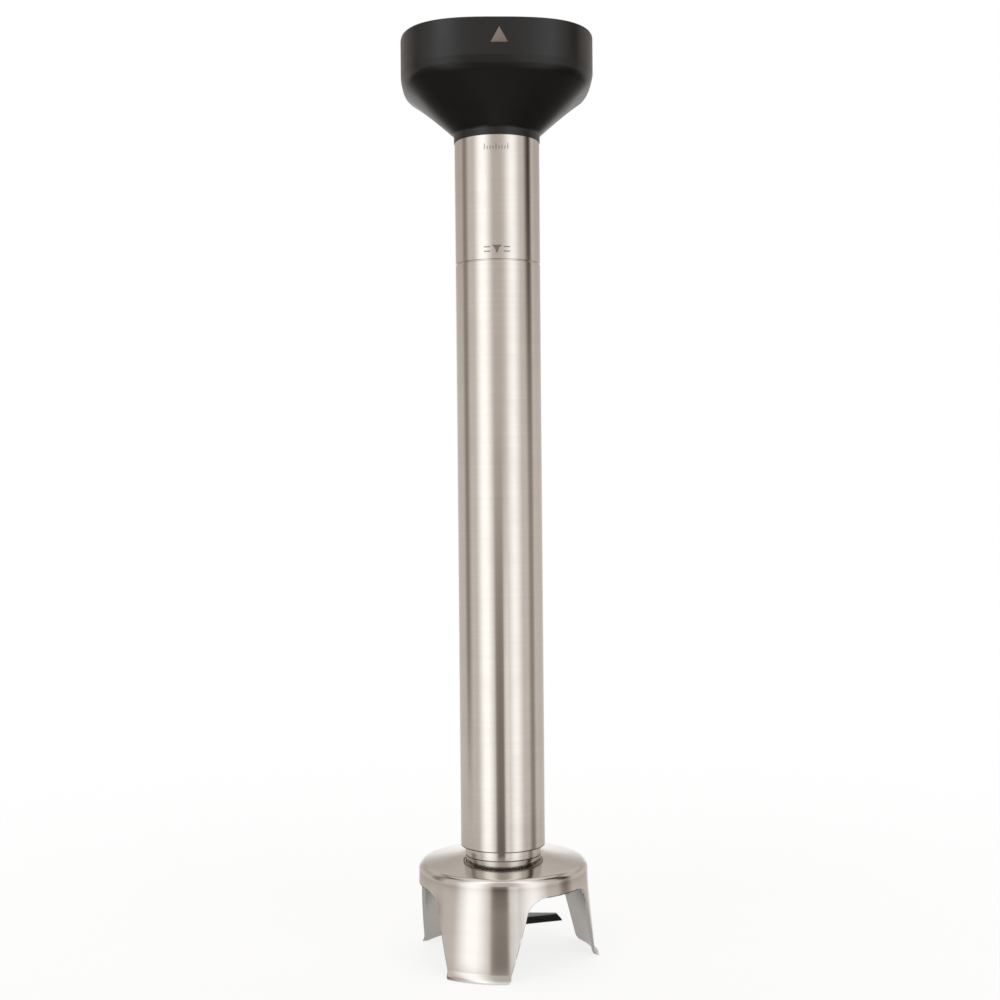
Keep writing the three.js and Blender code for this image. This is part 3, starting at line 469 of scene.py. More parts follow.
# Edge wear: rounded outer edges, broken up where they are rubbed less
edge_wear, given, result = shader_group("edge_wear", {"Vector": None, "Edge": 0.0, "Reach": 0.6}, ["Wear"])
patches = noise(edge_wear, given["Vector"], 2.2, 3.0)
nicks = noise(edge_wear, given["Vector"], 0.5, 2.0)
rubbed = calc(edge_wear, "MULTIPLY_ADD", patches, 0.6, calc(edge_wear, "MULTIPLY", nicks, 0.4))
limit = calc(edge_wear, "SUBTRACT", 1.0, given["Reach"])
edge_wear.links.new(calc(
    edge_wear, "MULTIPLY", given["Edge"],
    ramp(edge_wear, rubbed, limit, calc(edge_wear, "ADD", limit, 0.22))), result["Wear"])


def use_group(tree, group, values):
    made = node(tree, "ShaderNodeGroup", node_tree=group)
    for label, value in values.items():
        if isinstance(value, bpy.types.NodeSocket):
            tree.links.new(value, made.inputs[label])
        else:
            made.inputs[label].default_value = value
    return made.outputs


def metal(name, colour, roughness, turned=1.0, width=0.12, depth=0.0015, spread=0.06, waves=0.0, wear=0.5,
          tone=0.08, crease_shade=0.75):
    """Bare metal: tool marks in tone, gloss and relief, smears, rubbed edges, and painted shade darkening
    the creases.
    """
    made = bpy.data.materials.new(name)
    made.use_nodes = True
    tree = made.node_tree
    shader = tree.nodes["Principled BSDF"]
    shader.inputs["Metallic"].default_value = 1.0
    vector = node(tree, "ShaderNodeTexCoord").outputs["Object"]
    edge = node(tree, "ShaderNodeAttribute", attribute_name="edge").outputs["Fac"]
    hollow = node(tree, "ShaderNodeAttribute", attribute_name="hollow").outputs["Fac"]
    marks = use_group(tree, tool_marks, {"Vector": vector, "Turned": turned, "Width": width})
    touch = use_group(tree, handling, {"Vector": vector, "Size": 16.0})
    worn = use_group(tree, edge_wear, {"Vector": vector, "Edge": edge, "Reach": wear})["Wear"]
    dark = tuple(value * (1 - tone) for value in colour)
    light = tuple(min(1.0, value * (1 + 0.6 * tone)) for value in colour)
    base = blend_colours(tree, marks["Band"], dark, light)
    smear = tuple(value * 0.86 for value in colour)
    base = blend_colours(tree, calc(tree, "MULTIPLY", touch["Haze"], 0.25), base, smear)
    # painted shade: the creases, where the hollow attribute is 1, are darkened towards near black, broken
    # up by the tool marks
    painted_crease_shade = calc(tree, "MULTIPLY", hollow, calc(tree, "MULTIPLY_ADD", marks["Streak"], 0.4, crease_shade - 0.2))
    base = blend_colours(tree, painted_crease_shade, base, (0.035, 0.030, 0.026))
    bright = tuple(min(1.0, value * 1.18) for value in colour)
    base = blend_colours(tree, worn, base, bright)
    tree.links.new(base, shader.inputs["Base Color"])
    rough = calc(tree, "MULTIPLY_ADD", marks["Streak"], spread, roughness - spread / 2)
    rough = calc(tree, "MULTIPLY_ADD", touch["Haze"], 0.5 * spread, rough)
    rough = calc(tree, "MULTIPLY_ADD", touch["Spots"], 0.10, rough)
    rough = calc(tree, "MULTIPLY_ADD", worn, -0.3 * roughness, rough)
    tree.links.new(rough, shader.inputs["Roughness"])
    relief = calc(tree, "MULTIPLY", marks["Streak"], depth)
    if waves:
        swell = noise(tree, vector, 9.0, 1.0)
        relief = calc(tree, "MULTIPLY_ADD", swell, waves, relief)
    bump = node(tree, "ShaderNodeBump", {"Height": relief, "Distance": mm, "Strength": 1.0})
    tree.links.new(bump.outputs[0], shader.inputs["Normal"])
    return made


polished_steel = metal("polished_steel", (0.69, 0.66, 0.62), 0.12, width=0.2, depth=0.0002,
                       spread=0.03, waves=0.022, wear=0.15, tone=0.012)
belong(guard_shell, polished_steel, "arm", "polished_steel", "blade_guard")

# ---------------------------------------------------------------- guard nut
# A turned ring nut, screwed up the spigot from inside the guard with a pin spanner in its four slots.

def rounded(corners, arc_steps=4):
    """A profile whose corners [radius, height, fillet] are turned into arcs, with support points."""
    outline = []
    count = len(corners)
    for k, corner in enumerate(corners):
        here = Vector(corner[:2])
        fillet = corner[2] if len(corner) > 2 else 0.0
        before = Vector(corners[k - 1][:2]) - here
        after = Vector(corners[(k + 1) % count][:2]) - here
        if not fillet:
            outline.append(here)
            continue
        half_angle = before.angle(after) / 2
        reach = min(fillet / math.tan(half_angle), 0.45 * before.length, 0.45 * after.length)
        start, end = here + before.normalized() * reach, here + after.normalized() * reach
        if before.length > 4 * reach:
            outline.append(here + before.normalized() * 1.5 * reach)
        for s in steps(arc_steps):
            outline.append((1 - s) ** 2 * start + 2 * s * (1 - s) * here + s * s * end)
        if after.length > 4 * reach:
            outline.append(here + after.normalized() * 1.5 * reach)
    return outline


def spun(name, corners, segments=96, arc_steps=4):
    """A closed solid of revolution about the axis. A profile that starts on the axis also ends there."""
    outline = rounded(corners, arc_steps)
    open_ended = corners[0][0] == 0
    points = []
    for radius, height in outline:
        for k in range(segments):
            turn = 2 * math.pi * k / segments
            points.append((radius * math.sin(turn), -radius * math.cos(turn), height))
    faces = []
    for row in range(len(outline) - (1 if open_ended else 0)):
        lower, upper = row * segments, ((row + 1) % len(outline)) * segments
        for k in range(segments):
            after = (k + 1) % segments
            faces.append((lower + k, lower + after, upper + after, upper + k))
    return new_piece(name, points, faces)


def carve(piece, cutter, operation="DIFFERENCE"):
    """Cuts the cutter out of the piece, or joins or intersects them, and removes the cutter."""
    change = piece.modifiers.new("carve", "BOOLEAN")
    change.operation = operation
    change.solver = "EXACT"
    change.object = cutter
    settle(piece)
    bpy.data.objects.remove(cutter)


def block(name, low, high):
    """A box between two corners."""
    points = [(x, y, z) for x in (low[0], high[0]) for y in (low[1], high[1]) for z in (low[2], high[2])]
    faces = [(0, 1, 3, 2), (4, 6, 7, 5), (0, 4, 5, 1), (2, 3, 7, 6), (0, 2, 6, 4), (1, 5, 7, 3)]
    return new_piece(name, points, faces)


# A ring of copies of one piece round the axis, each turned outwards and, if loose, at a random angle
ring_tree = bpy.data.node_groups.new("pieces_round_axis", "GeometryNodeTree")
for label, kind in (
    ("Piece", "Object"), ("Count", "Int"), ("Radius", "Float"), ("Height", "Float"),
    ("Start", "Float"), ("Loose", "Float"), ("Seed", "Int"), ("Material", "Material"),
):
    ring_tree.interface.new_socket(label, in_out="INPUT", socket_type="NodeSocket" + kind)
ring_tree.interface.new_socket("Geometry", in_out="OUTPUT", socket_type="NodeSocketGeometry")
given = node(ring_tree, "NodeGroupInput").outputs
circle = node(ring_tree, "GeometryNodeMeshCircle", {"Vertices": given["Count"], "Radius": given["Radius"]})
lift = node(ring_tree, "ShaderNodeCombineXYZ", {2: given["Height"]})
spin = node(ring_tree, "ShaderNodeCombineXYZ", {2: given["Start"]})
placed = node(ring_tree, "GeometryNodeTransform", {
    "Geometry": circle.outputs[0], "Translation": lift.outputs[0], "Rotation": spin.outputs[0]})
x, y, z = node(ring_tree, "ShaderNodeSeparateXYZ", {
    0: node(ring_tree, "GeometryNodeInputPosition").outputs[0]}).outputs
facing = calc(ring_tree, "ARCTAN2", y, x)
chance = node(ring_tree, "FunctionNodeRandomValue", {"Seed": given["Seed"]}, data_type="FLOAT")
turned_by = calc(ring_tree, "MULTIPLY_ADD", chance.outputs[1], given["Loose"], facing)
rotation = node(ring_tree, "ShaderNodeCombineXYZ", {2: turned_by})
source = node(ring_tree, "GeometryNodeObjectInfo", {"Object": given["Piece"]})
copies = node(ring_tree, "GeometryNodeInstanceOnPoints", {
    "Points": placed.outputs[0], "Instance": source.outputs["Geometry"], "Rotation": rotation.outputs[0]})
whole = node(ring_tree, "GeometryNodeRealizeInstances", {0: copies.outputs[0]})
dressed = node(ring_tree, "GeometryNodeSetMaterial", {
    "Geometry": whole.outputs[0], "Material": given["Material"]})
node(ring_tree, "NodeGroupOutput", {0: dressed.outputs[0]})


def round_axis_copies(name, piece, count, radius, height, material, start=0.0, loose=0.0, seed=1):
    """Copies of the piece round the axis as one mesh; the piece itself is removed."""
    holder = bpy.data.objects.new(name, bpy.data.meshes.new(name))
    bpy.context.scene.collection.objects.link(holder)
    ring = holder.modifiers.new("ring", "NODES")
    ring.node_group = ring_tree
    values = {"Piece": piece, "Count": count, "Radius": radius * mm, "Height": height * mm,
              "Start": start, "Loose": loose, "Seed": seed, "Material": material}
    for item in ring_tree.interface.items_tree:
        if item.in_out == "INPUT":
            ring[item.identifier] = values[item.name]
    settle(holder)
    bpy.data.objects.remove(piece)
    return holder


machined_steel = metal("machined_steel", (0.56, 0.555, 0.545), 0.26, width=0.16, depth=0.0022, spread=0.10)

nut_low, nut_high = [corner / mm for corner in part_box("guard_clamp_nut")]
nut_bore = roof_hole_radius
slot_width = 3.2
slot_height = 1.3
slot_depth = 1.6
guard_nut = spun("guard_nut", [
    [nut_bore, nut_low.z, 0.4], [nut_high.x, nut_low.z, 0.6], [nut_high.x, nut_high.z, 0.3],
    [nut_bore, nut_high.z, 0.3]])
slot = block("slot", (-slot_depth, -slot_width / 2, -slot_height),
             (2 * slot_depth, slot_width / 2, slot_height))
slots = round_axis_copies("slots", slot, 4, nut_high.x, nut_low.z, machined_steel, start=math.pi / 4)
carve(guard_nut, slots)
soften(guard_nut, 0.15, 2)
shade(guard_nut)
belong(guard_nut, machined_steel, "arm", "machined_steel", "guard_clamp_nut")

# ---------------------------------------------------------------- neck and lower bearing housing
# One turned stainless piece: the bright neck between guard and tube, the spigot that the guard is
# clamped on, and a long sleeve inside the tube with the bearing seat and an O-ring groove.

tube_bore = 16.3
# the gap round a piece in its seat, and the gap over and under a ring in its groove
seat_room = 0.15
groove_room = 0.1
tube_low, tube_high = [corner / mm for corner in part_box("arm_tube")]
housing_low, housing_high = [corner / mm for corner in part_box("lower_bearing_housing")]
o_ring_low, o_ring_high = [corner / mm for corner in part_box("housing_o_ring")]
seal_low, seal_high = [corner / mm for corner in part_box("lip_seal")]
tube_radius = tube_high.x
neck_radius = 15.7
sleeve_radius = tube_bore - seat_room
spigot_radius = nut_bore - seat_room
seal_seat = seal_high.x + seat_room
race_low, race_high = [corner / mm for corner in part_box("lower_outer_race")]
bearing_seat = race_high.x + seat_room
seat_opening = 7.4
neck_bottom = guard_top + groove_room
joint_groove = 0.5
o_ring_low_bore = o_ring_high.x - 2.0
neck_housing = spun("neck_housing", [
    [seal_seat, housing_low.z, 0.4], [spigot_radius, housing_low.z, 0.5], [spigot_radius, neck_bottom],
    [neck_radius, neck_bottom, 0.2], [neck_radius, tube_low.z - 0.6, 0.25],
    [neck_radius - joint_groove, tube_low.z - 0.3, 0.1], [neck_radius - joint_groove, tube_low.z + 0.2],
    [sleeve_radius, tube_low.z + 0.5, 0.2], [sleeve_radius, o_ring_low.z - groove_room],
    [o_ring_low_bore, o_ring_low.z - groove_room], [o_ring_low_bore, o_ring_high.z + groove_room],
    [sleeve_radius, o_ring_high.z + groove_room], [sleeve_radius, housing_high.z, 0.3],
    [bearing_seat, housing_high.z, 0.3], [bearing_seat, race_low.z - groove_room],
    [seat_opening, race_low.z - groove_room, 0.2], [seat_opening, seal_high.z + groove_room, 0.2],
    [seal_seat, seal_high.z + groove_room],
], 144)
shade(neck_housing)
belong(neck_housing, polished_steel, "arm", "polished_steel", "lower_bearing_housing")

# ---------------------------------------------------------------- seals
# A thin black rubber ring under the tube's edge is painted shadow: it stands in for the dark line of shade
# at the joint between tube and neck. A moulded lip seal is pressed into the spigot; its garter spring holds
# the lip on the sleeve.

moulded_grain, given, result = shader_group(
    "moulded_grain", {"Vector": None, "Size": 0.3}, ["Grain", "Tone"])
scale = calc(moulded_grain, "DIVIDE", 1 / mm, given["Size"])
pits = node(moulded_grain, "ShaderNodeTexVoronoi", {"Vector": given["Vector"], "Scale": scale})
bed = node(moulded_grain, "ShaderNodeTexNoise", {
    "Vector": given["Vector"], "Scale": calc(moulded_grain, "MULTIPLY", scale, 0.6), "Detail": 3.0})
moulded_grain.links.new(calc(
    moulded_grain, "MULTIPLY_ADD", pits.outputs["Distance"], 0.5, bed.outputs[0]), result["Grain"])
moulded_grain.links.new(noise(moulded_grain, given["Vector"], 11.0, 3.0), result["Tone"])


def moulding(name, colour, roughness, grain=0.3, depth=0.006, spread=0.12, wear_colour=None, reach=0.5):
    """Moulded plastic or rubber: fine grain, uneven gloss, smears, and paler rubbed edges."""
    made = bpy.data.materials.new(name)
    made.use_nodes = True
    tree = made.node_tree
    shader = tree.nodes["Principled BSDF"]
    vector = node(tree, "ShaderNodeTexCoord").outputs["Object"]
    edge = node(tree, "ShaderNodeAttribute", attribute_name="edge").outputs["Fac"]
    mould = use_group(tree, moulded_grain, {"Vector": vector, "Size": grain})
    touch = use_group(tree, handling, {"Vector": vector, "Size": 18.0})
    worn = use_group(tree, edge_wear, {"Vector": vector, "Edge": edge, "Reach": reach})["Wear"]
    dark = tuple(value * 0.82 for value in colour)
    light = tuple(value * 1.16 for value in colour)
    base = blend_colours(tree, mould["Tone"], dark, light)
    rubbed = wear_colour or tuple(value * 1.8 for value in colour)
    base = blend_colours(tree, calc(tree, "MULTIPLY", worn, 0.5), base, rubbed)
    tree.links.new(base, shader.inputs["Base Color"])
    rough = calc(tree, "MULTIPLY_ADD", mould["Grain"], 0.5 * spread, roughness - spread / 4)
    rough = calc(tree, "MULTIPLY_ADD", touch["Haze"], -0.7 * spread, rough)
    rough = calc(tree, "MULTIPLY_ADD", worn, -0.8 * spread, rough)
    tree.links.new(rough, shader.inputs["Roughness"])
    relief = calc(tree, "MULTIPLY", mould["Grain"], depth)
    bump = node(tree, "ShaderNodeBump", {"Height": relief, "Distance": mm, "Strength": 1.0})
    tree.links.new(bump.outputs[0], shader.inputs["Normal"])
    return made


black_rubber = moulding("black_rubber", (0.016, 0.016, 0.017), 0.62, grain=0.18, depth=0.004)
seal_inner = 6.25
seam_outer = tube_radius - 0.1
seam_inner = seam_outer - 0.3
seam_bottom = tube_low.z - 0.25
seam_top = tube_low.z - 0.02
# painted shadow: this black ring paints the dark line of shade at the joint under the tube's edge
tube_seam = spun("tube_seam", [
    [seam_inner, seam_bottom, 0.1], [seam_outer, seam_bottom, 0.12], [seam_outer, seam_top, 0.05],
    [seam_inner, seam_top, 0.05]], 144)
shade(tube_seam)
belong(tube_seam, black_rubber, "arm", "black_rubber")

lip_outer = seal_inner + 1.0
seal_ring = spun("seal_ring", [
    [lip_outer - 0.4, seal_low.z + 0.6, 0.1], [lip_outer, seal_low.z + 0.6, 0.1],
    [lip_outer, seal_high.z - 1.2, 0.3], [seal_high.x - 1.2, seal_high.z - 1.2, 0.3],
    [seal_high.x - 1.2, seal_low.z, 0.25], [seal_high.x, seal_low.z, 0.25], [seal_high.x, seal_high.z, 0.2],
    [lip_outer, seal_high.z, 0.2], [seal_inner, seal_low.z + 2.3, 0.1]], 72)
shade(seal_ring)
belong(seal_ring, black_rubber, "arm", "black_rubber", "lip_seal")


def dress(material, *names):
    """Gives CAD nodes that stay a material."""
    for name in names:
        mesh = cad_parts[name].data
        mesh.materials.clear()
        mesh.materials.append(material)


spring_steel = metal("spring_steel", (0.17, 0.17, 0.175), 0.36, width=0.1, depth=0.002,
                     spread=0.12, wear=0.6)
dress(black_rubber, "housing_o_ring")
dress(spring_steel, "seal_garter_spring")

# ---------------------------------------------------------------- ball bearings and circlips
# Two deep-groove bearings in ground steel, each held in its housing and on the shaft by open spring
# rings. The balls and their pressed ribbon cage go round the shaft together.

bearing_steel = metal("bearing_steel", (0.60, 0.61, 0.62), 0.12, width=0.08, depth=0.0006, spread=0.05)
ball_count = 7
ball_radius = 0.283 * 7.0
pitch_radius = 7.5
race_shoulder = 0.85 * ball_radius
half_race = 3.5
race_bore = 4.08
ribbon_half = 1.05
ribbon = 0.28
ball_room = 0.08


def race_corners(middle, bore, side):
    """A race's profile: side 1 is the outer race, -1 the inner one."""
    groove_radius = ball_radius + 0.15
    reach = math.acos(race_shoulder / groove_radius)
    groove = [[pitch_radius + side * groove_radius * math.cos(a), middle + groove_radius * math.sin(a)]
              for a in steps(8, reach * side, -reach * side)]
    land = pitch_radius + side * race_shoulder
    bottom, top_face = middle - half_race, middle + half_race
    if side > 0:
        return [[land, bottom, 0.15], [bore, bottom, 0.5], [bore, top_face, 0.5],
                [land, top_face, 0.15], *groove]
    return [[bore, bottom, 0.4], [land, bottom, 0.15], *groove,
            [land, top_face, 0.15], [bore, top_face, 0.4]]


def ribbon_cage(name, middle):
    """Two pressed ribbons that wave over and under the balls."""
    points, faces = [], []
    turns = ball_count * 20
    section = [(-ribbon_half, 0.0), (ribbon_half, 0.0), (ribbon_half, ribbon), (-ribbon_half, ribbon)]
    for face in (1, -1):
        base = len(points)
        for k in range(turns):
            turn = 2 * math.pi * k / turns
            from_ball = (turn * ball_count / (2 * math.pi) + 0.5) % 1.0 - 0.5
            sideways = from_ball * 2 * math.pi * pitch_radius / ball_count
            lift = math.sqrt(max(0.0, (ball_radius + ball_room) ** 2 - sideways ** 2))
            lift = max(lift, 0.05)
            for across, up in section:
                radius = pitch_radius + across * (1 - 0.25 * lift / ball_radius)
                height = middle + face * (lift + up)
                points.append((radius * math.sin(turn), -radius * math.cos(turn), height))
        for k in range(turns):
            here, after = base + k * 4, base + ((k + 1) % turns) * 4
            for i in range(4):
                j = (i + 1) % 4
                faces.append((here + i, here + j, after + j, after + i))
    return new_piece(name, points, faces)


def ball(name):
    mesh = bpy.data.meshes.new(name)
    shape = bmesh.new()
    bmesh.ops.create_uvsphere(shape, u_segments=24, v_segments=16, radius=ball_radius * mm)
    shape.to_mesh(mesh)
    shape.free()
    made = bpy.data.objects.new(name, mesh)
    bpy.context.scene.collection.objects.link(made)
    return made


for end in ("upper", "lower"):
    low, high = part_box(f"{end}_outer_race")
    middle = (low.z + high.z) / 2 / mm
    outer = spun(f"{end}_race_outside", race_corners(middle, high.x / mm, 1), 96)
    shade(outer)
    belong(outer, bearing_steel, "arm", "bearing_steel", f"{end}_outer_race")
    inner = spun(f"{end}_race_inside", race_corners(middle, race_bore, -1), 96)
    shade(inner)
    belong(inner, bearing_steel, "rotor", "bearing_steel", f"{end}_inner_race")
    cage = ribbon_cage(f"{end}_cage_and_balls", middle)
    balls = round_axis_copies("balls", ball("ball"), ball_count, pitch_radius, middle, bearing_steel,
                              start=-math.pi / 2)
    cage.data.materials.append(bearing_steel)
    with bpy.context.temp_override(active_object=cage, selected_editable_objects=[cage, balls]):
        bpy.ops.object.join()
    shade(cage)
    belong(cage, bearing_steel, f"{end}_cage", "bearing_steel", f"{end}_ball_cage")


def circlip(name, low, high, inside, outside, ears_inward):
    """An open spring ring with an ear beside the gap at each end, drilled for the pliers."""
    gap, ear = math.radians(14), math.radians(13)
    turns = steps(72, gap, 2 * math.pi - gap)
    points, faces = [], []
    for turn in turns:
        from_end = min(turn - gap, 2 * math.pi - gap - turn)
        growth = 1.1 * max(0.0, min(1.0, (ear * 1.25 - from_end) / (0.25 * ear)))
        near = inside - (growth if ears_inward else 0.0)
        far = outside + (0.0 if ears_inward else growth)
        # the ring is heaviest opposite its gap
        body = 0.35 * (1 - math.cos(turn)) / 2
        near, far = (near - body, far) if ears_inward else (near, far + body)
        for radius, height in ((near, low), (far, low), (far, high), (near, high)):
            points.append((radius * math.cos(turn), radius * math.sin(turn), height))
    for k in range(len(turns) - 1):
        for i in range(4):
            j = (i + 1) % 4
            faces.append((4 * k + i, 4 * k + j, 4 * k + 4 + j, 4 * k + 4 + i))
    last = 4 * (len(turns) - 1)
    faces += [(0, 1, 2, 3), (last + 3, last + 2, last + 1, last)]
    made = new_piece(name, points, faces)
    ear_middle = (inside - 0.25) if ears_inward else (outside + 0.25)
    for side in (1, -1):
        turn = side * (gap + 0.62 * ear)
        hole = spun("hole", [[0, low - 1], [0.5, low - 1], [0.5, high + 1], [0, high + 1]], 16)
        place = Vector((math.cos(turn), math.sin(turn), 0)) * ear_middle
        hole.data.transform(Matrix.Translation(place * mm))
        carve(made, hole)
    soften(made, 0.12, 2)
    shade(made)
    return made


clip_width = 1.75
for end in ("upper", "lower"):
    low, high = [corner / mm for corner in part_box(f"{end}_housing_circlip")]
    clip = circlip(f"{end}_bore_clip", low.z, high.z, high.y - clip_width, high.y, True)
    belong(clip, spring_steel, "arm", "spring_steel", f"{end}_housing_circlip")
dress(spring_steel, "upper_shaft_circlip", "lower_shaft_circlip")

# ---------------------------------------------------------------- steel tube
# Drawn stainless tube, 35 mm outside, ground and satin polished round its length. A fine turned
# groove marks how deep the arm may go in, and a plain level sign is etched over it.

brushed_steel = metal("brushed_steel", (0.70, 0.665, 0.62), 0.12, width=0.10, depth=0.00035,
                      spread=0.05, waves=0.002, tone=0.02)
head_low, head_high = [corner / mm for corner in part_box("coupling_head")]
groove_height = head_low.z - 50.1
groove_half = 0.35
groove_depth = 0.3
steel_tube = spun("steel_tube", [
    [tube_bore, tube_low.z, 0.15], [tube_radius, tube_low.z, 0.2],
    [tube_radius, groove_height - groove_half, 0.06],
    [tube_radius - groove_depth, groove_height - groove_half / 2, 0.08],
    [tube_radius - groove_depth, groove_height + groove_half / 2, 0.08],
    [tube_radius, groove_height + groove_half, 0.06],
    [tube_radius, tube_high.z, 0.2], [tube_bore, tube_high.z, 0.2]], 240)
shade(steel_tube)
belong(steel_tube, brushed_steel, "arm", "brushed_steel", "arm_tube")

etched = metal("etched_mark", (0.25, 0.235, 0.215), 0.42, width=0.1, depth=0.001, spread=0.1)
etch_root = 0.05
etch_height = 0.012
etch_bearing = math.radians(-3)


def on_tube(name, outline_rows):
    """A thin patch on the tube from rows of [height, left, right], bent round it."""
    points, faces = [], []
    columns = 12
    for radius in (tube_radius - etch_root, tube_radius + etch_height):
        for height, left, edge in outline_rows:
            for across in steps(columns, left, edge):
                turn = etch_bearing + across / tube_radius
                points.append((radius * math.sin(turn), -radius * math.cos(turn), height))
    width, rows = columns + 1, len(outline_rows)
    layer = width * rows
    for row in range(rows - 1):
        for k in range(columns):
            a = row * width + k
            faces.append((a, a + 1, a + 1 + width, a + width))
            faces.append((layer + a, layer + a + width, layer + a + 1 + width, layer + a + 1))
        for k in (0, columns):
            a = row * width + k
            faces.append((a, a + width, layer + a + width, layer + a))
    for row in (0, rows - 1):
        for k in range(columns):
            a = row * width + k
            faces.append((a, a + 1, layer + a + 1, layer + a))
    return new_piece(name, points, faces)


def merge(first, *others):
    with bpy.context.temp_override(active_object=first, selected_editable_objects=[first, *others]):
        bpy.ops.object.join()
    return first


sign_height = 3.2
sign_bottom = groove_height + 2.6
bar_half = 0.22
sign_middle = sign_bottom + sign_height / 2
triangle_tip, triangle_half = 0.12, 1.9
bar_reach, bar_from_middle, bar_lift = 1.3, 4.0, 0.9
triangle = on_tube("level_sign", [
    [sign_bottom, -triangle_tip, triangle_tip],
    [sign_bottom + sign_height, -triangle_half, triangle_half]])
bars = []
for side in (-bar_from_middle, bar_from_middle):
    for lift in (-bar_lift, bar_lift):
        heights = (sign_middle + lift - bar_half, sign_middle + lift + bar_half)
        bars.append(on_tube("bar", [[height, side - bar_reach, side + bar_reach] for height in heights]))
level_sign = merge(triangle, *bars)
shade(level_sign)
belong(level_sign, etched, "arm", "brushed_steel")

scale_bottom = head_low.z - 5.8
tick_count, tick_pitch, tick_half = 9, 1.2, 0.16
long_tick, short_tick = 2.2, 1.3
ticks = []
for k in range(tick_count):
    middle = (k - (tick_count - 1) / 2) * tick_pitch
    tall = long_tick if k % 4 == 0 else short_tick
    heights = (scale_bottom, scale_bottom + tall)
    ticks.append(on_tube("tick", [[height, middle - tick_half, middle + tick_half] for height in heights]))
setting_ticks = merge(*ticks)
setting_ticks.name = "setting_ticks"
shade(setting_ticks)
belong(setting_ticks, etched, "arm", "brushed_steel")

# ---------------------------------------------------------------- shaft guide
# A moulded nylon spider half way up the tube, with a sintered bronze bush that steadies the shaft.

nylon = moulding("nylon", (0.70, 0.67, 0.58), 0.5, grain=0.4, depth=0.004)
bronze = metal("bronze", (0.52, 0.34, 0.17), 0.36, width=0.2, depth=0.003, spread=0.12)
dress(nylon, "shaft_guide")
dress(bronze, "guide_bush")

# ---------------------------------------------------------------- upper bearing housing and its screws
# A turned flange over the tube's end, screwed to the floor of the head with four socket screws.

flange_low, flange_high = [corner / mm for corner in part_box("upper_bearing_housing")]
head_floor = tube_high.z + 0.2
flange_bottom = head_floor + groove_room
flange_top = flange_bottom + 2.5
flange_bore = 6.8
upper_race_low, upper_race_high = [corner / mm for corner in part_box("upper_outer_race")]
clip_low, clip_high = [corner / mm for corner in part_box("upper_housing_circlip")]
hub_outside = upper_race_high.x + 3.3
clip_groove = bearing_seat + 0.9
bearing_flange = spun("bearing_flange", [
    [flange_bore, flange_low.z, 0.2], [sleeve_radius, flange_low.z, 0.4], [sleeve_radius, flange_bottom],
    [flange_high.x, flange_bottom, 0.2], [flange_high.x, flange_top, 0.4], [hub_outside, flange_top, 0.5],
    [hub_outside, flange_high.z, 0.4], [bearing_seat, flange_high.z, 0.3],
    [bearing_seat, clip_high.z + groove_room], [clip_groove, clip_high.z + groove_room],
    [clip_groove, clip_low.z - groove_room], [bearing_seat, clip_low.z - groove_room],
    [bearing_seat, upper_race_low.z - groove_room],
    [flange_bore, upper_race_low.z - groove_room, 0.2]], 144)
shade(bearing_flange)
belong(bearing_flange, machined_steel, "arm", "machined_steel", "upper_bearing_housing")

screw_steel = metal("screw_steel", (0.60, 0.60, 0.59), 0.2, width=0.14, depth=0.0015, spread=0.08, wear=0.6)


head_rise = 0.62


def socket_screw(shank, head, length):
    """A pan-head screw with a hexagon socket, its head resting on height 0."""
    rise = head_rise * head
    made = spun("screw", [
        [0, -length], [0.6 * shank, -length], [shank, -length + 0.5 * shank, 0.1], [shank, 0],
        [head, 0, 0.12], [head, 0.5 * rise, 0.35 * head], [0.45 * head, rise, 0.3 * head],
        [0, rise]], 40)
    socket = spun("socket", [[0, 0.3 * rise], [0.5 * head, 0.3 * rise], [0.5 * head, rise + 1],
                             [0, rise + 1]], 6)
    carve(made, socket)
    soften(made, 0.06, 2, 50)
    return made


for label, count, shank, head in (("flange_screw", 4, 1.25, 2.2), ("ring_screw", 4, 1.6, 2.8)):
    low, high = [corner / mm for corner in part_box(f"{label}_1")]
    circle_radius = math.hypot((low.x + high.x) / 2, (low.y + high.y) / 2)
    seat = high.z - head_rise * head
    names = [f"{label}_{k + 1}" for k in range(count)]
    screws = round_axis_copies(f"{label}s", socket_screw(shank, head, seat - low.z), count, circle_radius,
                               seat, screw_steel, start=math.pi / 4, loose=math.pi, seed=4)
    shade(screws)
    belong(screws, screw_steel, "arm", "screw_steel", *names)

# ---------------------------------------------------------------- coupling head
# Moulded in black glass-filled nylon with a fine satin grain: a round collar on the tube widens
# into a rounded square cup, which holds the bayonet ring and takes the foot of the motor unit.
# A crease parts the cup's upright band from the shoulder, which leans in under it.

head_squareness = 2.85
squareness_growth = 2.6
band_half = 39.2
band_height = 14.75
cone_angle = math.radians(41.7)
cone_top_half = 36.9
shoulder_lean = math.radians(13)
collar_radius = tube_radius + 0.2
collar_height = 3.2
head_wall = 3.55
rim_round = 0.7
head_points = 240
cone_bottom = head_low.z + collar_height
cone_top = cone_bottom + (cone_top_half - collar_radius) * math.tan(cone_angle)
band_bottom = head_high.z - band_height
lean = math.tan(shoulder_lean)
shoulder_room = band_half - cone_top_half - (band_bottom - cone_top) * lean
shoulder_curve = shoulder_room / (
    math.cos(shoulder_lean) - math.sin(cone_angle)
    - (math.cos(cone_angle) - math.sin(shoulder_lean)) * lean)
ring_low, ring_high = [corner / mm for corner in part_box("bayonet_ring")]
ledge = ring_low.z - groove_room
seal_ring_low, seal_ring_high = [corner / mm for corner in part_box("nose_seal")]
head_bore = 28.6
cavity_half = band_half - head_wall
well_radius = flange_high.x + seat_room
well_top = head_floor + (head_bore - well_radius) * math.tan(cone_angle)


def squareness(height):
    share = min(1.0, max(0.0, (height - cone_bottom) / (cone_top - cone_bottom)))
    return 2 + (head_squareness - 2) * share ** squareness_growth


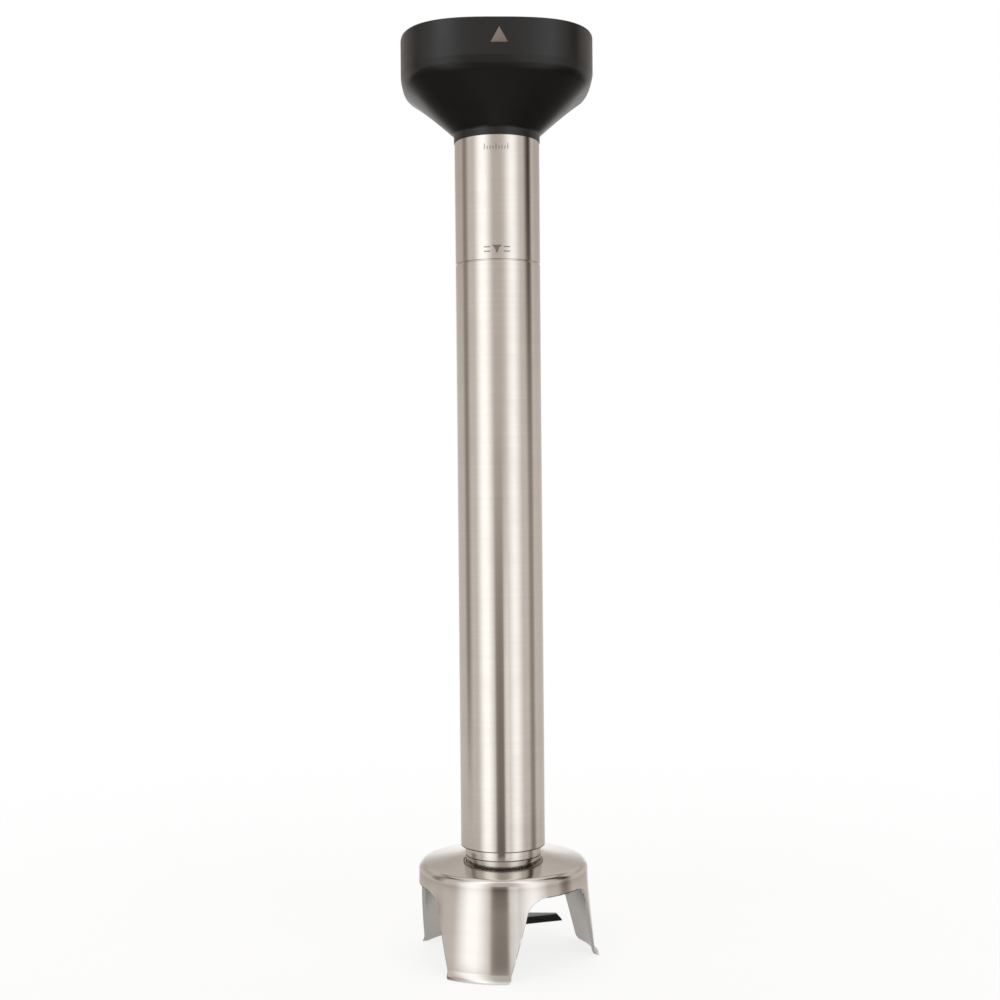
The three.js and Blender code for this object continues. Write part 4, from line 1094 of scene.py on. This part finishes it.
outside = [[head_low.z, collar_radius - 0.15], [head_low.z + 0.15, collar_radius],
           [cone_bottom - 1.0, collar_radius], [cone_bottom - 0.6, collar_radius + 0.04]]
blend_end = cone_bottom + 1.0
for s in steps(5)[1:]:
    flat, sloped = cone_bottom - 0.6, blend_end
    height = flat + (sloped - flat) * s
    outside.append([height, collar_radius + (blend_end - cone_bottom) / math.tan(cone_angle) * s * s])
cone_start = outside.pop()
for s in steps(22):
    height = cone_start[0] + (cone_top - cone_start[0]) * s
    outside.append([height, collar_radius + (height - cone_bottom) / math.tan(cone_angle)])
for a in steps(14, math.pi / 2 - cone_angle, shoulder_lean)[1:]:
    outside.append([cone_top + shoulder_curve * (math.cos(cone_angle) - math.sin(a)),
                    cone_top_half + shoulder_curve * (math.cos(a) - math.sin(cone_angle))])
outside += [[band_bottom - below, band_half - below * lean] for below in (0.5, 0.2)]
outside += [[band_bottom - 0.05, band_half - 0.01], [band_bottom + 0.1, band_half]]
outside += [[height, band_half] for height in steps(6, band_bottom + 1, head_high.z - rim_round - 0.3)]
outside += [[head_high.z - rim_round * (1 - math.sin(a)), band_half - rim_round * (1 - math.cos(a))]
            for a in steps(6, 0, math.pi / 2)]
inner_round = 0.4
inside = [[head_high.z, cavity_half + inner_round + 0.3]]
inside += [[head_high.z - inner_round * (1 - math.cos(a)), cavity_half + inner_round * (1 - math.sin(a))]
           for a in steps(4, 0, math.pi / 2)]
inside += [[height, cavity_half] for height in steps(4, head_high.z - 1, ledge + 0.6)]
inside += [[ledge + 0.2, cavity_half - 0.06], [ledge + 0.06, cavity_half - 0.2], [ledge, cavity_half - 0.5]]
sections = [[height, half, squareness(height)] for height, half in outside]
sections += [[height, half, head_squareness] for height, half in inside]
ledge_half = cavity_half - 0.5
for s in steps(4)[1:]:
    sections.append([ledge, ledge_half + (head_bore + 0.3 - ledge_half) * s,
                     head_squareness + (2 - head_squareness) * s])
groove_low, groove_high = seal_ring_low.z - groove_room, seal_ring_high.z + groove_room
groove_bore = head_bore + 1.2
for height, half in (
    (ledge - 0.1, head_bore + 0.08), (ledge - 0.3, head_bore), (groove_high + 0.1, head_bore),
    (groove_high, head_bore + 0.1), (groove_high, groove_bore), (groove_low, groove_bore),
    (groove_low, head_bore + 0.1), (groove_low - 0.1, head_bore), (well_top, head_bore),
    (head_floor + 0.2, well_radius + 0.15), (head_floor, well_radius - 0.2),
    (head_floor, tube_radius + 0.5),
    (head_floor - 0.3, tube_radius + seat_room), (head_low.z + 0.3, tube_radius + seat_room),
    (head_low.z, tube_radius + 0.16),
):
    sections.append([height, half, 2.0])
points, faces = [], []
for height, half, power in sections:
    for k in range(head_points):
        turn = 2 * math.pi * k / head_points
        across = abs(math.cos(turn)) ** power + abs(math.sin(turn)) ** power
        radius = half / across ** (1 / power)
        points.append((radius * math.cos(turn), radius * math.sin(turn), height))
for row in range(len(sections)):
    lower, upper = row * head_points, ((row + 1) % len(sections)) * head_points
    for k in range(head_points):
        after = (k + 1) % head_points
        faces.append((lower + k, lower + after, upper + after, upper + k))
head_cup = new_piece("head_cup", points, faces)
shade(head_cup, 40)
black_plastic = moulding("black_plastic", (0.0075, 0.0074, 0.0076), 0.34, grain=0.22, depth=0.0030,
                         spread=0.10, wear_colour=(0.045, 0.045, 0.045), reach=0.45)
belong(head_cup, black_plastic, "arm", "black_plastic", "coupling_head")

# ---------------------------------------------------------------- alignment arrow
# A warm grey inlay in the front of the head; it lines up with a mark on the motor unit.

arrow_low, arrow_high = [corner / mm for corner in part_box("alignment_arrow")]
arrow_points = [(arrow_low.x, arrow_low.z), (arrow_high.x, arrow_low.z), (0, arrow_high.z)]
arrow_proud = 0.05
arrow_front = -band_half - arrow_proud
points = [(x, depth, z) for depth in (arrow_front, arrow_high.y) for x, z in arrow_points]
faces = [(0, 1, 2), (3, 5, 4), (0, 3, 4, 1), (1, 4, 5, 2), (2, 5, 3, 0)]
turn_arrow = new_piece("turn_arrow", points, faces)
soften(turn_arrow, 0.04, 2)
shade(turn_arrow)
pale_mark = moulding("pale_mark", (0.245, 0.195, 0.165), 0.5, grain=0.2, depth=0.003, spread=0.1)
belong(turn_arrow, pale_mark, "arm", "pale_mark", "alignment_arrow")

# ---------------------------------------------------------------- nose seal
# A rubber O-ring in the head's bore keeps splashes out of the coupling.

seal_section = (seal_ring_high.z - seal_ring_low.z) / 2
seal_middle = (seal_ring_high.z + seal_ring_low.z) / 2
nose_ring = spun("nose_ring", [
    [seal_ring_high.x - seal_section + seal_section * math.cos(a), seal_middle + seal_section * math.sin(a)]
    for a in steps(15, 0, 2 * math.pi * 15 / 16)], 144)
shade(nose_ring)
belong(nose_ring, black_rubber, "arm", "black_rubber", "nose_seal")

# ---------------------------------------------------------------- bayonet ring
# Turned from stainless and milled to three lugs, which the motor unit's own lugs turn under.

ring_thickness = 3.0
ring_bore = ring_high.x - 7.1
lug_reach = 3.4
lug_root = 1.0
lug_arc = math.radians(34)
lug_step = 0.8
lug_drop = 0.1
screw_hole = 1.85
lock_ring = spun("lock_ring", [
    [ring_bore, ring_low.z, 0.2], [ring_high.x, ring_low.z, 0.3], [ring_high.x, ring_high.z, 0.4],
    [ring_bore, ring_high.z, 0.3]], 192)
lug_height = ring_thickness - lug_step - lug_drop
lug_points, lug_faces = [], []
lug_turns = steps(16, -lug_arc / 2, lug_arc / 2)
for turn in lug_turns:
    for reach, height in ((ring_bore - lug_reach, 0.0), (ring_bore + lug_root, 0.0),
                          (ring_bore + lug_root, lug_height), (ring_bore - lug_reach, lug_height)):
        lug_points.append((reach * math.cos(turn) - ring_bore, reach * math.sin(turn), height))
for k in range(len(lug_turns) - 1):
    for i in range(4):
        j = (i + 1) % 4
        lug_faces.append((4 * k + i, 4 * k + j, 4 * k + 4 + j, 4 * k + 4 + i))
last = 4 * (len(lug_turns) - 1)
lug_faces += [(0, 1, 2, 3), (last + 3, last + 2, last + 1, last)]
lug = new_piece("lug", lug_points, lug_faces)
soften(lug, 0.2)
lugs = round_axis_copies("lugs", lug, 3, ring_bore, ring_low.z + lug_step, machined_steel,
                         start=-math.pi / 2)
screw_low, screw_high = [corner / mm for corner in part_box("ring_screw_1")]
hole_circle = math.hypot((screw_low.x + screw_high.x) / 2, (screw_low.y + screw_high.y) / 2)
hole = spun("hole", [[0, -1], [screw_hole, -1], [screw_hole, 5], [0, 5]], 32)
holes = round_axis_copies("holes", hole, 4, hole_circle, ring_low.z, machined_steel, start=math.pi / 4)
carve(lock_ring, holes)
lock_ring.data.materials.clear()
lock_ring.data.materials.append(machined_steel)
merge(lock_ring, lugs)
shade(lock_ring)
belong(lock_ring, machined_steel, "arm", "machined_steel", "bayonet_ring")

# ---------------------------------------------------------------- drive shaft and coupling
# An 8 mm ground shaft runs the length of the tube. The turned coupling on its upper end is held by
# a cross pin, and its six-fluted socket takes the motor's spigot.

dress(machined_steel, "drive_shaft", "seal_sleeve")
drive_low, drive_high = [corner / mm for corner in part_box("drive_coupling")]
shaft_bore = 4.15
coupling_neck = 5.6
coupling_foot = drive_high.z - 13.5
mark_bottom, mark_top = drive_high.z - 5.2, drive_high.z - 4.2
mark_depth = 0.35
mark_slope = 0.2
top_chamfer = 1.2
pin_hole = 1.5
hole_half = 12
socket_depth = 7.4
socket_radius = 4.9
flute_radius = 1.2
drive_cup = spun("drive_cup", [
    [shaft_bore, drive_low.z, 0.2], [coupling_neck, drive_low.z, 0.2], [coupling_neck, coupling_foot],
    [drive_high.x, coupling_foot, 0.4], [drive_high.x, mark_bottom, 0.1],
    [drive_high.x - mark_depth, mark_bottom + mark_slope, 0.1],
    [drive_high.x - mark_depth, mark_top - mark_slope, 0.1], [drive_high.x, mark_top, 0.1],
    [drive_high.x, drive_high.z - top_chamfer, 0.3], [drive_high.x - top_chamfer, drive_high.z, 0.3],
    [socket_radius + 0.5, drive_high.z, 0.1], [socket_radius, drive_high.z - 0.5, 0.1],
    [socket_radius, drive_high.z - socket_depth, 0.3],
    [shaft_bore, drive_high.z - socket_depth, 0.1]], 120)
flute = spun("flute", [
    [0, -socket_depth], [flute_radius, -socket_depth, 0.2], [flute_radius, 2], [0, 2]], 32)
flutes = round_axis_copies("flutes", flute, 6, socket_radius, drive_high.z, machined_steel,
                           start=-math.pi / 2)
carve(drive_cup, flutes)
pin_low, pin_high = [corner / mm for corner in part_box("coupling_pin")]
pin_height = (pin_low.z + pin_high.z) / 2
quarter_turn = Matrix.Rotation(math.pi / 2, 4, "X")


def cross_rod(name, radius, half, chamfer):
    """A round rod along Y at the pin's height."""
    made = spun(name, [[0, -half], [radius, -half, chamfer], [radius, half, chamfer], [0, half]], 32)
    made.data.transform(Matrix.Translation((0, 0, pin_height * mm)) @ quarter_turn)
    return made


carve(drive_cup, cross_rod("cross_hole", pin_hole, hole_half, 0))
soften(drive_cup, 0.12, 2, 50)
shade(drive_cup)
belong(drive_cup, machined_steel, "rotor", "machined_steel", "drive_coupling")
cross_pin = cross_rod("cross_pin", pin_high.x, pin_high.y, 0.25)
shade(cross_pin)
belong(cross_pin, spring_steel, "rotor", "spring_steel", "coupling_pin")

# ---------------------------------------------------------------- blade hub
# A turned stainless boss; its skirt runs just under the seal and throws food away from it.

hub_low, hub_high = [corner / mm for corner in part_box("blade_hub")]
hub_body = 6.4
skirt_height = 2.4
flare_height = 1.8
blade_boss = spun("blade_boss", [
    [shaft_bore, hub_low.z, 0.2], [hub_body, hub_low.z, 0.4],
    [hub_body, hub_high.z - skirt_height - flare_height, 1.2], [hub_high.x, hub_high.z - skirt_height, 0.5],
    [hub_high.x, hub_high.z, 0.3], [shaft_bore, hub_high.z, 0.2]], 120)
shade(blade_boss)
belong(blade_boss, machined_steel, "rotor", "machined_steel", "blade_hub")

# ---------------------------------------------------------------- blade
# Blanked from 2.2 mm hardened steel, ground to an edge along the leading side and tip of each wing,
# and coated dark.

blade_low, blade_high = [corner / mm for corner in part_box("blade")]
blade_reach = 24.2
stud_hole = 3.35
root_half, tip_half = 5.4, 2.0
grind_angle = math.radians(48)
grind_land = 0.25
blade_bearing = math.radians(96)
thickness = blade_high.z - blade_low.z
wing = [Vector((root_half, -root_half)), Vector((blade_reach, -tip_half)),
        Vector((blade_reach, tip_half)), Vector((root_half, root_half))]
outline = wing + [-corner for corner in wing]
points = [(*corner, height) for height in (0, thickness) for corner in outline]
count = len(outline)
faces = [tuple(range(count)), tuple(range(2 * count - 1, count - 1, -1))]
faces += [(k, (k + 1) % count, (k + 1) % count + count, k + count) for k in range(count)]
winged_blade = new_piece("winged_blade", points, faces)
shape = bmesh.new()
shape.from_mesh(winged_blade.data)
for start, end in ((wing[0], wing[1]), (wing[1], wing[2])):
    heading = (end - start).normalized()
    outward = Vector((heading.y, -heading.x, 0))
    for side in (1, -1):
        normal = outward * side * math.sin(grind_angle) + Vector((0, 0, math.cos(grind_angle)))
        foot = Vector((*start, 0)) * side + Vector((0, 0, grind_land))
        every = shape.verts[:] + shape.edges[:] + shape.faces[:]
        cut = bmesh.ops.bisect_plane(
            shape, geom=every, plane_co=foot * mm, plane_no=normal, clear_outer=True)
        rim = [item for item in cut["geom_cut"] if isinstance(item, bmesh.types.BMEdge)]
        bmesh.ops.contextual_create(shape, geom=rim)
bmesh.ops.recalc_face_normals(shape, faces=shape.faces)
shape.to_mesh(winged_blade.data)
shape.free()
carve(winged_blade, spun("hole", [[0, -1], [stud_hole, -1], [stud_hole, 4], [0, 4]], 48))
soften(winged_blade, 0.09, 2, 25)
winged_blade.data.transform(Matrix.Translation((0, 0, blade_low.z * mm))
                            @ Matrix.Rotation(blade_bearing - math.pi / 2, 4, "Z"))
shade(winged_blade, 35)
blade_coating = metal("blade_coating", (0.042, 0.042, 0.046), 0.30, turned=0.0, width=0.16,
                      depth=0.0008, spread=0.06, wear=0.65)
blade_shader = blade_coating.node_tree.nodes["Principled BSDF"]
blade_shader.inputs["Metallic"].default_value = 0.6
belong(winged_blade, blade_coating, "rotor", "blade_coating", "blade")

# ---------------------------------------------------------------- washer and domed nut
# A plain washer and a bright domed nut hold the blade up against its hub.

washer_low, washer_high = [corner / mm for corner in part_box("blade_washer")]
plain_washer = spun("plain_washer", [
    [stud_hole, washer_low.z, 0.12], [washer_high.x, washer_low.z, 0.25],
    [washer_high.x, washer_high.z, 0.12], [stud_hole, washer_high.z, 0.12]], 72)
shade(plain_washer)
belong(plain_washer, screw_steel, "rotor", "screw_steel", "blade_washer")

cap_low, cap_high = [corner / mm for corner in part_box("blade_nut")]
cap_reach = cap_high.y
cap_height = cap_high.z - cap_low.z
hexagon_bottom = cap_high.z - 0.55 * cap_height
dome_radius = 0.84 * cap_reach
domed_nut = spun("domed_nut", [
    [0, hexagon_bottom], [cap_reach, hexagon_bottom], [cap_reach, cap_high.z], [0, cap_high.z]], 6)
lens = spun("lens", [
    [0, hexagon_bottom - 1.2], [dome_radius, hexagon_bottom - 0.1],
    [cap_reach + 0.3, hexagon_bottom + 0.75], [cap_reach + 0.3, cap_high.z - 0.3],
    [cap_reach - 0.4, cap_high.z + 0.1], [0, cap_high.z + 0.1]], 72)
dome_root = hexagon_bottom + 0.4
dome_curve = [[dome_radius * math.sin(a), dome_root - (dome_root - cap_low.z) * math.cos(a)]
              for a in steps(14, 0.12, math.pi / 2)]
carve(domed_nut, lens, "INTERSECT")
dome = spun("dome", [
    [0, cap_low.z], *dome_curve, [dome_radius, cap_high.z - 0.2], [0, cap_high.z - 0.2]], 72)
carve(domed_nut, dome, "UNION")
thread = spun("thread", [[0, cap_low.z + 1.2], [stud_hole, cap_low.z + 1.2],
                         [stud_hole, cap_high.z + 1], [0, cap_high.z + 1]], 48)
carve(domed_nut, thread)
soften(domed_nut, 0.12, 2, 35)
shade(domed_nut)
belong(domed_nut, screw_steel, "rotor", "screw_steel", "blade_nut")

# ---------------------------------------------------------------- size
# The finished model's box.

low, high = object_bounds()
